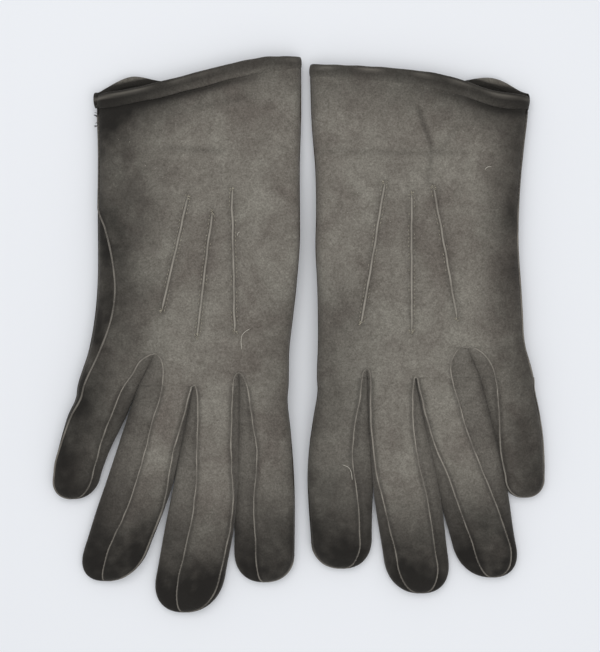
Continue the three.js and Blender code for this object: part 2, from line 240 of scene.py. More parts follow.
class Glove:
    """The outline, fingers, forks and points of one glove, read from the frame."""

    def __init__(self, hand):
        self.hand = hand
        self.side = HANDS[hand]
        hinge = next(j for j in frame["joints"] if j["name"] == f"{hand}_index_knuckle")
        self.knuckle = hinge["pos_m"][1]
        self.start = self.knuckle + START_BEFORE
        self.drape_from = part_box(f"{hand}_cuff_hem_back")[0].y
        self.cuff_back = self.cuff("cuff_hem_back")
        self.cuff_palm = self.cuff("cuff_hem_palm")
        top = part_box(f"{hand}_cuff_hem_back")[1].y
        levels = np.linspace(self.knuckle + 4 * MM, top - 26 * MM, 9)
        near = [(y, edges(hand, "trank_fold", y)[0]) for y in levels]
        far = [(y, edges(hand, "side_seam", y)[1]) for y in levels]
        self.fingers = {f: self.finger_plan(f) for f in FINGERS}
        index, little = self.fingers["index"], self.fingers["little"]
        near += [(y, index["palm"][0](y)) for y in index["levels"]]
        far += [(y, little["palm"][1](y)) for y in little["levels"]]
        near, self.far = curve_through(near), curve_through(far)
        trim = curve_through(TRIM[hand])
        self.near = lambda y: near(y) + trim(y)
        self.points = []
        self.forks = [Fork(*fork) for fork in FORKS[hand]]
        self.fork_levels = self.levels_of_forks()

    def levels_of_forks(self):
        """The levels of the rows in the forks' zone, which close up where an arch is round."""
        rows = 26
        levels = [self.start + FORK_ZONE * (1 - i / rows) for i in range(rows + 1)]
        for fork in self.forks:
            levels += [fork.y - step * MM for step in (0.05, 0.2, 0.45, 0.8, 1.2)]
        kept = [fork.y for fork in self.forks] + [self.start, levels[0]]
        for level in levels:
            if level > self.start and min(abs(level - other) for other in kept) > 0.12 * MM:
                kept.append(level)
        return sorted(kept, reverse=True)

    def cuff(self, node):
        """The cuff's edge, as a function of out."""
        points = [v.co for v in frame["nodes"][f"{self.hand}_{node}"].data.vertices]
        highest = {}
        for p in points:
            out = round(self.side * p.x, 4)
            highest[out] = max(p.y, highest.get(out, -1))
        return curve_through(highest.items())

    def finger_plan(self, finger):
        """The edges of a finger's palm and back panels, its end, and the middle of its round end."""
        low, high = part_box(f"{self.hand}_{finger}_palm_panel")
        tip = low.y
        span = high.y - tip
        levels = np.linspace(high.y - 1 * MM, tip + 0.19 * span, 6)
        plan = {"tip": tip, "levels": levels}
        for kind in ("palm", "back"):
            found = [edges(self.hand, f"{finger}_{kind}_panel", y) for y in levels]
            plan[kind] = tuple(curve_through([(y, f[k]) for y, f in zip(levels, found)]) for k in (0, 1))
        near, far = (edge(levels[-1]) for edge in plan["palm"])
        plan["round"] = tip + 0.54 * (far - near)
        return plan


gloves = {hand: Glove(hand) for hand in HANDS}
for hand, glove in gloves.items():
    print(hand, "knuckle line at", round(glove.knuckle, 4))

# %% [markdown]
# ## Edges of a strip at any level
#
# On a finger, the edges follow its panels, and they close over its round end like half an ellipse.
# In the hand, the slit's edges run up to the fork, and above it a strip meets its neighbour. The
# outer sides follow the glove's outline all the way.

# %% Strip edges
# Neighbouring fingers lie against each other near their roots: how far each outline moves over.
CROWD = {"right": [0.55 * MM, 0.55 * MM, 0.55 * MM], "left": [0.55 * MM, 0.55 * MM, 1.5 * MM]}
TIP_BLUNTNESS = 2.3  # 2 is a round end, and a higher number a blunter one


def round_end(plan, y):
    """1 along the finger, going to 0 over its round end."""
    if y >= plan["round"]:
        return 1.0
    t = min((plan["round"] - y) / (plan["round"] - plan["tip"]), 1)
    return (1 - t**TIP_BLUNTNESS) ** (1 / TIP_BLUNTNESS)


def seam_wander(glove, finger, edge, y):
    """No hand-sewn seam runs dead straight: how far this one strays at the level y."""
    if (finger, edge) in (("index", 0), ("little", 1)):
        return 0.0
    line = 7.3 * FINGERS.index(finger) + 3.1 * edge + (20 if glove.side > 0 else 0)
    return 0.3 * MM * noise.noise(Vector((y / (6 * MM), line, 4.5)))


@functools.lru_cache(maxsize=None)
def finger_edges(glove, finger, kind, y):
    """The near and far edge of a finger's back or palm at the level y."""
    plan = glove.fingers[finger]
    level = max(y, plan["round"])
    near, far = (edge(level) for edge in plan[kind])
    outline = [edge(level) for edge in plan["palm"]]
    if finger == "index":
        outline[0] = near = glove.near(level)
    if finger == "little":
        outline[1] = far = glove.far(level)
    lean = 2 * MM
    drift = (sum(e(plan["round"] + lean) for e in plan["palm"]) / 2
             - sum(e(plan["round"]) for e in plan["palm"]) / 2) / lean
    middle = sum(outline) / 2
    moved = middle + drift * (y - level)
    share = round_end(plan, y)
    number = FINGERS.index(finger)
    for edge, fork_number in ((0, number - 1), (1, number)):
        if 0 <= fork_number < 3:
            close = CROWD[glove.hand][fork_number] * smooth((y - plan["round"]) / (30 * MM))
            outline[edge] += (close, -close)[edge == 0]
    if kind == "palm":
        near, far = outline
    else:
        pair = [near, far]
        for edge, fork_number in ((0, number - 1), (1, number)):
            if 0 <= fork_number < 3:
                seam = glove.forks[fork_number].seam(1 - edge, level)
                stray = seam_wander(glove, finger, edge, y) * smooth((glove.start - y) / (15 * MM))
                pair[edge] = min(max(seam + stray, outline[0] + SEAM_MARGIN), outline[1] - SEAM_MARGIN)
        near, far = pair
    return tuple(moved + (edge - middle) * share for edge in (near, far))


@functools.lru_cache(maxsize=None)
def strip_edges(glove, finger, kind, y):
    """The near and far edge of a finger's strip at the level y, from the cuff to its tip."""
    if y <= glove.start:
        return finger_edges(glove, finger, kind, y)
    number = FINGERS.index(finger)

    def inner(fork_number, edge):
        fork = glove.forks[fork_number]
        if kind == "back" and y < fork.y:
            return fork.seam(1 - edge, y)
        closed = glove.start + 1 * MM if kind == "palm" else fork.y
        if y >= closed:
            return lerp(fork.out, lerp(glove.near(y), glove.far(y), (fork_number + 1) / 4),
                        0.35 * smooth((y - closed) / (80 * MM)))
        at_start = finger_edges(glove, finger, kind, glove.start)[edge]
        return lerp(fork.out, at_start, ((closed - y) / (closed - glove.start)) ** 0.5)

    near = glove.near(y) if number == 0 else inner(number - 1, 0)
    far = glove.far(y) if number == 3 else inner(number, 1)
    return near, far


# %% [markdown]
# ## How high the leather lies
#
# An empty glove is a flat tube. Its back is level in the middle and rolls down to the outline over
# about a centimetre, and a little less deeply along the forks and fourchettes. Over that lie long
# soft waves, cross wrinkles on the fingers and a few sharp creases, so that no surface is perfect.

# %% Height of the back and of the palm
ROLL = 9 * MM  # the back rolls down to the outline over this distance
OUTLINE_DROP = 0.5  # the share of the thickness by which it comes down there
FORK_DROP = 0.26
WAVE = 0.8 * MM  # the unevenness has three sizes: waves, ripples and sharp wrinkles
WAVE_SIZE = 26 * MM
RIPPLE = 0.26 * MM
RIPPLE_SIZE = 7 * MM
WRINKLE = 0.30 * MM
WRINKLE_SIZE = 10 * MM
BACK_UNEVENNESS = 1.2
PALM_CLEARANCE = 0.3 * MM


def underside(glove, out, y):
    """How high the palm lies: raised over the thumb, and down on the table at the cuff."""
    from_cuff = glove.drape_from - y
    spread = 1 - SPREAD_DROP * smooth((out - SPREAD_FROM) / SPREAD_WIDTH)
    return LIFT * smooth(from_cuff / DRAPE_LENGTH) * spread


def crease(out, y, ends, depth, width):
    """A fold pressed in along the line between two ends, fading out at both."""
    a, b = Vector(ends[0]), Vector(ends[1])
    along = b - a
    p = Vector((out, y))
    t = (p - a).dot(along) / along.length_squared
    across = abs((p - a).cross(along)) / along.length
    held = smooth((t + 0.12) / 0.25) * smooth((1.12 - t) / 0.25)
    return -depth * held * bell(across, width)


# Sharp folds: the two ends as (out, y), the depth and the width.
CREASES = {
    "left": [
        (((0.0570, 0.1090), (0.0638, 0.0900)), 0.8 * MM, 1.3 * MM),
        (((0.0638, 0.0900), (0.0615, 0.0720)), 0.5 * MM, 1.3 * MM),
        (((0.0770, 0.1000), (0.0660, 0.0860)), 0.35 * MM, 1.5 * MM),
        (((0.0090, 0.0875), (0.0800, 0.0868)), 0.35 * MM, 1.5 * MM),
    ],
    "right": [
        (((0.0350, 0.0875), (0.0640, 0.0895)), 0.45 * MM, 1.5 * MM),
        (((0.0200, 0.1145), (0.0520, 0.1085)), 0.35 * MM, 1.8 * MM),
    ],
}


def lie(glove, out, y):
    """The small ups and downs of the leather."""
    seed = 3.7 if glove.side > 0 else 11.3
    at = Vector((out, y, 0))
    z = WAVE * noise.noise(at / WAVE_SIZE + Vector((seed, seed, 0)))
    z += RIPPLE * noise.noise(Vector((out * 0.7, y, 0)) / RIPPLE_SIZE + Vector((0, seed, seed)))
    folded = 1 - min(abs(noise.noise(Vector((out * 0.4, y, 9)) / WRINKLE_SIZE + Vector((0, seed, 0)))) * 5, 1)
    patch = smooth(0.5 + 1.2 * noise.noise(at / (22 * MM) + Vector((seed, 0, 5))))
    z -= WRINKLE * folded * patch * lerp(0.35, 1, smooth((glove.start - y) / 0.02))
    for ends, depth, width in CREASES[glove.hand]:
        z += crease(out, y, ends, depth, width)
    return z


def roll(distance, reach):
    """0 at an edge, going to 1 over a distance, as a bent sheet does."""
    t = min(max(distance / reach, 0), 1)
    return (1 - (1 - t) ** 2.4) ** (1 / 1.7)


def heights(glove, finger, kind, out, y):
    """(height of the underside, thickness, how far the edges draw it in) at a place on a strip."""
    plan = glove.fingers[finger]
    number = FINGERS.index(finger)
    near, far = strip_edges(glove, finger, kind, y)
    share = round_end(plan, y)
    if y <= glove.start:
        along = min((glove.start - y) / (glove.start - plan["tip"]), 1)
        root = finger_edges(glove, finger, kind, glove.start)
        base = underside(glove, sum(root) / 2, glove.start) * (1 - along) ** 1.2
        base = lerp(underside(glove, out, glove.start), base, smooth(along / 0.3))
        depth = lerp(DEPTH, FINGER_DEPTH, smooth(along / 0.8))
        reach = min(ROLL, max(far - near, 1e-5) / 2)
        distances = (out - near, far - out)
    else:
        base = underside(glove, out, y)
        depth = DEPTH
        reach = ROLL
        distances = [out - near, far - out]
        for k, fork_number in ((0, number - 1), (1, number)):
            if 0 <= fork_number < 3:
                fork = glove.forks[fork_number]
                if y > fork.y:
                    distances[k] = math.hypot(out - fork.out, 0.6 * (y - fork.y))
    drops = [OUTLINE_DROP if number == 0 else FORK_DROP, OUTLINE_DROP if number == 3 else FORK_DROP]
    drawn = sum(drop * (1 - roll(d, reach)) for drop, d in zip(drops, distances))
    full = depth * share**0.8
    base += (depth - full) * 0.3
    return base, full, min(drawn, 0.5)


LIP_MIDDLE = {"right": 83 * MM, "left": 88 * MM}
LIP_HEIGHT = 3.0 * MM
LIP_WIDTH = 17 * MM
CUFF_FROM = 80 * MM  # y above which the leather belongs to the cuff
GROOVE_START = {"right": -5 * MM, "left": 48 * MM}  # out, where the drawn-in leather begins
GROOVE_GROW = 55 * MM
GROOVE_DEPTH = (0.2 * MM, 1.5 * MM)
GROOVE_WIDTH = 2.4 * MM


def lip(glove, out, y):
    """How far the palm's side of the cuff curls up, where it hangs out past the back's."""
    across = bell(out - LIP_MIDDLE[glove.hand], LIP_WIDTH)
    return LIP_HEIGHT * across * smooth((y - 98 * MM) / (20 * MM))


def hem_groove(glove, out, y):
    """The leather is drawn in along the hem's stitches."""
    below = glove.cuff_back(out) - HEM_WIDTH - y
    share = smooth((out - GROOVE_START[glove.hand] - 10 * MM) / GROOVE_GROW)
    return -lerp(*GROOVE_DEPTH, share) * bell(below, GROOVE_WIDTH) if y > CUFF_FROM else 0.0


def back_place(glove, finger, out, y, raised=0.0):
    """A point on the back's leather, or raised above it."""
    base, depth, drawn = heights(glove, finger, "back", out, y)
    uneven = hem_groove(glove, out, y) + lie(glove, out, y) * min(depth / DEPTH, 1) * BACK_UNEVENNESS
    return Vector((glove.side * out, y, base + (depth + uneven) * (1 - drawn) + raised))


def palm_place(glove, finger, out, y):
    """A point on the palm's leather."""
    base, depth, drawn = heights(glove, finger, "palm", out, y)
    return Vector((glove.side * out, y, base + depth * drawn + PALM_CLEARANCE + lip(glove, out, y)))


# %% [markdown]
# ## Laying a sheet
#
# A grid primitive is the flat leather, and its points are laid in place as a sheet is laid over a
# form. The rows of a strip are evenly spaced along the finger and closer over its round end, where
# the shape turns quickly.

# %% Lay a grid
ROW_PITCH = 1.5 * MM
ROOT_PITCH = 0.55 * MM  # the rows lie closer at a finger's root
ROOT_ROWS = 11
TIP_ROWS = 14
SEWN_TOGETHER = 0.02 * MM  # points nearer than this become one
KEEP_APART = 0.001 * MM  # the same, for pieces that only share an object


def deselect():
    if bpy.context.object and bpy.context.object.mode != "OBJECT":
        bpy.ops.object.mode_set(mode="OBJECT")
    bpy.ops.object.select_all(action="DESELECT")


def select_only(*objects):
    """Selects these objects, and makes the first the active one."""
    deselect()
    for obj in objects:
        obj.select_set(True)
    bpy.context.view_layer.objects.active = objects[0]


def add_object(name, data):
    obj = bpy.data.objects.new(name, data)
    bpy.context.collection.objects.link(obj)
    return obj


def lay_grid(name, columns, rows, place, belongs=None):
    """A grid of columns by rows cells, each of whose points goes to place(column, row).

    belongs(row) numbers the faces of a row, for parting the mesh later."""
    deselect()
    bpy.ops.mesh.primitive_grid_add(x_subdivisions=columns, y_subdivisions=rows, size=1)
    obj = bpy.context.object
    obj.name = obj.data.name = name
    for v in obj.data.vertices:
        v.co = place(round((v.co.x + 0.5) * columns), round((v.co.y + 0.5) * rows))
    if belongs:
        numbers = obj.data.attributes.new("belongs", "INT", "FACE")
        numbers.data.foreach_set("value", [belongs(face // columns) for face in range(columns * rows)])
    return obj


def join(name, parts, merge=SEWN_TOGETHER):
    """One mesh from several, with shared edges sewn together and faces pointing out."""
    select_only(*parts)
    if len(parts) > 1:
        bpy.ops.object.join()
    obj = bpy.context.object
    obj.name = obj.data.name = name
    bpy.ops.object.mode_set(mode="EDIT")
    bpy.ops.mesh.select_all(action="SELECT")
    bpy.ops.mesh.remove_doubles(threshold=merge)
    bpy.ops.mesh.dissolve_degenerate(threshold=merge)
    bpy.ops.mesh.normals_make_consistent(inside=False)
    bpy.ops.object.mode_set(mode="OBJECT")
    return obj


def thicken(obj, thickness, offset=-1):
    """Gives a sheet its thickness, and marks the faces on its inner side."""
    select_only(obj)
    solid = obj.modifiers.new("thickness", "SOLIDIFY")
    solid.thickness = thickness
    solid.offset = offset
    outer = len(obj.data.polygons)
    bpy.ops.object.modifier_apply(modifier=solid.name)
    bpy.ops.object.shade_smooth()
    inside = obj.data.attributes.new("inside", "INT", "FACE")
    inside.data.foreach_set("value", [int(i >= outer) for i in range(len(obj.data.polygons))])
    return obj


def finger_levels(glove, finger):
    """The levels of a finger's rows, from where its piece starts to its tip."""
    plan = glove.fingers[finger]
    levels = [glove.start - i * ROOT_PITCH for i in range(ROOT_ROWS)]
    root = levels[-1] - ROOT_PITCH
    straight = max(int((root - plan["round"]) / ROW_PITCH), 1)
    levels += [lerp(root, plan["round"], i / straight) for i in range(straight + 1)]
    turn = plan["round"] - plan["tip"]
    quarter = [math.sin(math.pi / 2 * i / TIP_ROWS) for i in range(1, TIP_ROWS + 1)]
    return levels + [plan["round"] - turn * share for share in quarter]


# %% [markdown]
# ## The trank
#
# The back, the fold beside the index finger and the palm are one piece of leather. Its strips are
# laid one by one and sewn where they touch, and the side seam closes it beside the little finger.
# It is parted where the fingers begin to bend. The points' normals are kept from the whole trank,
# and so no line shows where it is parted.

# %% Lay the trank
STRIP_COLUMNS = 18
CUFF_ROWS = 86
LEATHER = 0.9 * MM


def hand_level(glove, kind, out, row):
    """The level of a row in the hand: level across in the forks' zone, then evenly up to the hem."""
    if row >= CUFF_ROWS:
        return glove.fork_levels[row - CUFF_ROWS]
    cuff = glove.cuff_back if kind == "back" else glove.cuff_palm
    return lerp(cuff(out) - HEM_WIDTH * 0.6, glove.start + FORK_ZONE, row / CUFF_ROWS)


def strip_sheet(glove, finger, kind):
    """A finger's strip of the back or of the palm, from the cuff to the fingertip."""
    place = back_place if kind == "back" else palm_place
    hand_rows = CUFF_ROWS + len(glove.fork_levels) - 1
    levels = finger_levels(glove, finger)
    rows = hand_rows + len(levels) - 1

    def at(column, row):
        t = column / STRIP_COLUMNS
        if row >= hand_rows:
            y = levels[row - hand_rows]
            near, far = strip_edges(glove, finger, kind, y)
            return place(glove, finger, lerp(near, far, t), y)
        y = hand_level(glove, kind, 0.05, row)
        for _ in range(1 if row >= CUFF_ROWS else 4):
            near, far = strip_edges(glove, finger, kind, y)
            out = lerp(near, far, t)
            y = hand_level(glove, kind, out, row)
        near, far = strip_edges(glove, finger, kind, y)
        return place(glove, finger, lerp(near, far, t), y)

    number = FINGERS.index(finger) + 1
    return lay_grid(f"{finger}_{kind}", STRIP_COLUMNS, rows, at,
                    lambda row: number if row >= hand_rows else 0)


def lay_trank(glove):
    """All eight strips of a glove, sewn together where they touch."""
    parts = [strip_sheet(glove, f, kind) for f in FINGERS for kind in ("back", "palm")]
    return join(f"{glove.hand}_trank", parts)


tranks = {hand: lay_trank(glove) for hand, glove in gloves.items()}
for hand, trank in tranks.items():
    print(hand, "trank has", len(trank.data.polygons), "faces")


# %% [markdown]
# ## Fourchettes
#
# A fourchette is the narrow strip sewn between the back and the palm of two fingers. Its outer half
# leans out and rolls under, like a quarter of an ellipse. In the fork, two of them meet along their
# lower edges and make the web between two fingers, which sinks from the fork down to the palm.

# %% Lay the fourchettes
FOURCHETTE_COLUMNS = 8
# Each strip's finger, and on which edge it lies: 0 is near, 1 is far.
FOURCHETTES = [("index", 1), ("middle", 0), ("middle", 1), ("ring", 0), ("ring", 1), ("little", 0)]


def fourchette_place(glove, finger, edge, t, y):
    """A place on the strip beside a finger: t goes from the back's seam, 0, to the palm's seam, 1."""
    back = strip_edges(glove, finger, "back", y)[edge]
    palm = strip_edges(glove, finger, "palm", y)[edge]
    top = back_place(glove, finger, back, y)
    bottom = palm_place(glove, finger, palm, y)
    if y > glove.start:
        fork = glove.forks[FINGERS.index(finger) - (1 - edge)]
        share = (fork.y - y) / (fork.y - glove.start)
        palm = finger_edges(glove, finger, "palm", glove.start)[edge]
        low = palm_place(glove, finger, palm, glove.start).z
        out = lerp(fork.out, palm, share)
        bottom = Vector((glove.side * out, y, lerp(top.z, low, min(share * 2.2, 1) ** 0.55)))
    across = math.sin(t * math.pi / 2)
    down = 1 - math.cos(t * math.pi / 2)
    return Vector((lerp(top.x, bottom.x, across), y, lerp(top.z, bottom.z, down)))


def lay_fourchette(glove, finger, edge):
    """A finger's strip along its near or its far edge, from its root to its tip."""
    levels = finger_levels(glove, finger)
    name = f"{glove.hand}_{finger}_fourchette_{('near', 'far')[edge]}"

    def at(column, row):
        return fourchette_place(glove, finger, edge, column / FOURCHETTE_COLUMNS, levels[row])

    return lay_grid(name, FOURCHETTE_COLUMNS, len(levels) - 1, at)


def lay_web(glove, number):
    """The two fourchettes' ends that meet in one fork."""
    fork_y = glove.forks[number].y
    rows = max(int((fork_y - glove.start) / (0.6 * MM)), 5)
    sides = []
    for finger, edge in ((FINGERS[number], 1), (FINGERS[number + 1], 0)):
        def at(column, row, finger=finger, edge=edge):
            y = lerp(fork_y, glove.start, (row / rows) ** 2)
            return fourchette_place(glove, finger, edge, column / FOURCHETTE_COLUMNS, y)
        sides.append(lay_grid("side", FOURCHETTE_COLUMNS, rows, at))
    return join(f"{glove.hand}_{FINGERS[number]}_fork_web", sides)


# %% [markdown]
# ## Parting the fingers
#
# The whole trank is thickened first, so its walls match where the fingers start. The faces of each
# finger carry its number, and they are parted off by it. The normals stored beforehand are then given
# back, and the shading runs on across the line.

# %% Part the trank at the fingers
def keep_normals(obj):
    """Stores the points' normals, so that they can be given back once the mesh is parted."""
    normals = np.empty(len(obj.data.vertices) * 3, np.float32)
    obj.data.vertex_normals.foreach_get("vector", normals)
    store = obj.data.attributes.new("whole_normal", "FLOAT_VECTOR", "POINT")
    store.data.foreach_set("vector", normals)


def give_normals(obj):
    """Gives the stored normals back."""
    store = obj.data.attributes["whole_normal"]
    normals = [tuple(item.vector) for item in store.data]
    obj.data.attributes.remove(store)
    obj.data.normals_split_custom_set_from_vertices(normals)


def part_off(obj, number, name):
    """Parts the faces with this number from the rest, as a new object."""
    select_only(obj)
    bpy.ops.object.mode_set(mode="EDIT")
    bpy.ops.mesh.select_mode(type="FACE")
    bpy.ops.mesh.select_all(action="DESELECT")
    bpy.ops.object.mode_set(mode="OBJECT")
    for face, item in zip(obj.data.polygons, obj.data.attributes["belongs"].data):
        face.select = item.value == number
    bpy.ops.object.mode_set(mode="EDIT")
    bpy.ops.mesh.separate(type="SELECTED")
    bpy.ops.object.mode_set(mode="OBJECT")
    new = next(o for o in bpy.context.selected_objects if o != obj)
    new.name = new.data.name = name
    return new


leather = {}
for hand, glove in gloves.items():
    trank = tranks[hand]
    thicken(trank, LEATHER)
    keep_normals(trank)
    for number, finger in enumerate(FINGERS):
        leather[hand, finger] = part_off(trank, number + 1, f"{hand}_{finger}_leather")
    trank.name = trank.data.name = f"{hand}_hand_leather"
    leather[hand, "hand"] = trank
for piece in leather.values():
    give_normals(piece)
    print(piece.name, len(piece.data.polygons), "faces")

# %% [markdown]
# ## Sewing in the fourchettes
#
# Each glove takes six strips and three webs. Their leather is a little thinner than the trank's, and
# it is thickened evenly to both sides, because both its edges end in a seam.

# %% Sew in the fourchettes
STRIP_LEATHER = 0.8 * MM
fourchettes = {}
webs = {}
for hand, glove in gloves.items():
    for finger, edge in FOURCHETTES:
        fourchettes[hand, finger, edge] = thicken(lay_fourchette(glove, finger, edge), STRIP_LEATHER, 0)
    for number in range(3):
        webs[hand, number] = thicken(lay_web(glove, number), STRIP_LEATHER, 0)
print(len(fourchettes), "fourchettes and", len(webs), "webs")

# %% [markdown]
# ## Seams
#
# Where two edges are sewn together they stand up as a thin ridge, which gets rubbed pale. A ridge is
# a curve through points on the leather, with a small round section that tapers at both ends. Fine
# slanted stitches cross it. A stitch is modelled once, as a small stretched sphere, and copied.

# %% Ridges and stitches
SEAM_RADIUS = 0.47 * MM
STITCH_PITCH = 2.1 * MM
STITCH_LENGTH = 1.05 * MM
STITCH_RADIUS = 0.13 * MM
STITCH_SLANT = math.radians(55)
UP = Vector((0, 0, 1))


def ridge(name, points, radius=SEAM_RADIUS, taper=(False, False), taper_length=4 * MM, sides=2):
    """A round ridge along points. taper says which of its ends run out to nothing."""
    curve = bpy.data.curves.new(name, "CURVE")
    curve.dimensions = "3D"
    curve.bevel_depth = radius
    curve.bevel_resolution = sides
    curve.use_fill_caps = True
    spline = curve.splines.new("POLY")
    spline.points.add(len(points) - 1)
    lengths = [0.0]
    for a, b in zip(points, points[1:]):
        lengths.append(lengths[-1] + (b - a).length)
    for item, point, length in zip(spline.points, points, lengths):
        item.co = (*point, 1)
        grown = 1.0
        if taper[0]:
            grown = min(grown, 0.15 + 0.85 * smooth(length / taper_length))
        if taper[1]:
            grown = min(grown, 0.15 + 0.85 * smooth((lengths[-1] - length) / taper_length))
        item.radius = grown * (1 + 0.16 * noise.noise(Vector(point) / (3 * MM)))
    select_only(add_object(name, curve))
    bpy.ops.object.convert(target="MESH")
    bpy.ops.object.shade_smooth()
    return bpy.context.object


def stitch_template():
    """The points and faces of one stitch, which lies along its own z axis."""
    deselect()
    bpy.ops.mesh.primitive_uv_sphere_add(segments=6, ring_count=4, radius=1)
    obj = bpy.context.object
    points = np.array([v.co for v in obj.data.vertices])
    faces = [tuple(face.vertices) for face in obj.data.polygons]
    bpy.data.objects.remove(obj)
    return points * (STITCH_RADIUS, STITCH_RADIUS, STITCH_LENGTH / 2), faces


STITCH_POINTS, STITCH_FACES = stitch_template()


def walk(points, pitch, offset=0.5):
    """Evenly spaced (place, direction) along a line of points."""
    found = []
    wanted = pitch * offset
    walked = 0.0
    for a, b in zip(points, points[1:]):
        length = (b - a).length
        while length > 0 and wanted <= walked + length:
            found.append((a.lerp(b, (wanted - walked) / length), (b - a).normalized()))
            wanted += pitch
        walked += length
    return found


def stitch_copies(name, places):
    """Copies of the stitch, each with its (place, direction along it, size)."""
    points, faces = [], []
    for place, along, size in places:
        turn = np.array(along.to_track_quat("Z", "Y").to_matrix())
        faces += [tuple(i + len(points) * len(STITCH_POINTS) for i in face) for face in STITCH_FACES]
        points.append(STITCH_POINTS * size @ turn.T + np.array(place))
    mesh = bpy.data.meshes.new(name)
    mesh.from_pydata(np.concatenate(points).tolist(), [], faces)
    return add_object(name, mesh)


def stitches(name, places):
    """Stitches of full size, each at a (place, direction along it)."""
    obj = stitch_copies(name, [(place, along, 1.0) for place, along in places])
    obj.data.shade_smooth()
    return obj


def overcast(points, pitch=STITCH_PITCH, lift=0.36 * MM):
    """Slanted stitches over a ridge: (place, direction) of each."""
    placed = []
    for place, along in walk(points, pitch):
        across = along.cross(UP).normalized()
        slanted = (across * math.sin(STITCH_SLANT) + along * math.cos(STITCH_SLANT)).normalized()
        placed.append((place + UP * lift, slanted))
    return placed


def seam_points(glove, finger, edge, kind, levels):
    """The line of a finger's seam, on its back or its palm."""
    place = back_place if kind == "back" else palm_place
    return [place(glove, finger, strip_edges(glove, finger, kind, y)[edge], y) for y in levels]


finger_seams, finger_threads, hand_seams, hand_threads = {}, {}, {}, {}
for hand, glove in gloves.items():
    hand_lines, hand_stitched = [], []
    for number, finger in enumerate(FINGERS):
        levels = finger_levels(glove, finger)
        lines, stitched = [], []
        for edge in (0, 1):
            sewn = (finger, edge) in FOURCHETTES
            for kind in ("back", "palm"):
                if not sewn and kind == "palm":
                    continue
                line = seam_points(glove, finger, edge, kind, levels)
                folded = finger == "index" and edge == 0
                if folded:
                    line = line[-TIP_ROWS:]
                if finger == "little" and edge == 1 and hand == "right":
                    continue
                radius = SEAM_RADIUS * (1 if kind == "back" else 0.8)
                lines.append(ridge("line", line, radius, (folded, False), 6 * MM))
                if kind == "back":
                    stitched += overcast(line)
            if sewn:
                fork_y = glove.forks[number - (1 - edge)].y
                steps = 30
                up = [lerp(fork_y, glove.start, (i / steps) ** 2) for i in range(steps + 1)]
                line = seam_points(glove, finger, edge, "back", up)
                hand_lines.append(ridge("line", line))
                hand_stitched += overcast(line)
        finger_seams[hand, finger] = join(f"{hand}_{finger}_seams", lines, KEEP_APART)
        finger_threads[hand, finger] = stitches(f"{hand}_{finger}_stitches", stitched)
    hand_seams[hand] = hand_lines
    hand_threads[hand] = hand_stitched

# %% [markdown]
# ## Side seam
#
# The trank is closed beside the little finger. On the right-hand glove the palm's leather has rolled
# round on to the back, so the seam shows a little inside the outline; on the other it lies on it.

# %% Close the side
# How far in from the outline the seam lies, through (y, distance) pairs.
SIDE_SEAM_IN = {
    "right": curve_through([(0.115, 0.0), (0.060, 0.0004), (0.051, 0.0038), (0.025, 0.0088),
                            (0.010, 0.0088), (-0.010, 0.0055), (-0.030, 0.0029), (-0.057, 0.0006),
                            (-0.09, 0.0002)]),
    "left": curve_through([(0.12, 0.0003), (0.0, 0.0003), (-0.04, 0.0008), (-0.09, 0.0002)]),
}


def side_seam_points(glove, levels):
    points = []
    for y in levels:
        near, far = strip_edges(glove, "little", "back", y)
        out = max(far - max(SIDE_SEAM_IN[glove.hand](y), 0.3 * MM), (near + far) / 2)
        points.append(back_place(glove, "little", out, y, 0.1 * MM))
    return points


for hand, glove in gloves.items():
    top = glove.cuff_back(glove.far(glove.drape_from)) - HEM_WIDTH
    count = 100
    levels = [lerp(glove.start, top, i / count) for i in range(count + 1)]
    line = side_seam_points(glove, levels)
    hand_seams[hand].append(ridge("line", line))
    hand_threads[hand] += overcast(line)
    if hand == "right":
        line = side_seam_points(glove, finger_levels(glove, "little"))
        old = finger_seams[hand, "little"]
        finger_seams[hand, "little"] = join(old.name, [old, ridge("line", line)], KEEP_APART)
    print(hand, "side seam", round(sum((b - a).length for a, b in zip(line, line[1:])), 3), "m")

# %% [markdown]
# ## Points
#
# Three points decorate the back. Each is a tuck pinched up from the back and stitched along its
# foot, and it fades out at both ends, where a small star of thread holds it.

# %% Raise the points
POINT_RADIUS = 0.55 * MM
POINT_PITCH = 1.9 * MM
PRICK = 1.25 * MM  # the stitches lie this far beside the tuck


def strip_at(glove, out, y):
    """The strip that holds a place on the back of the hand."""
    for finger in FINGERS[:-1]:
        if out <= strip_edges(glove, finger, "back", y)[1]:
            return finger
    return FINGERS[-1]


def on_back(glove, out, y, raised=0.0):
    return back_place(glove, strip_at(glove, out, y), out, y, raised)


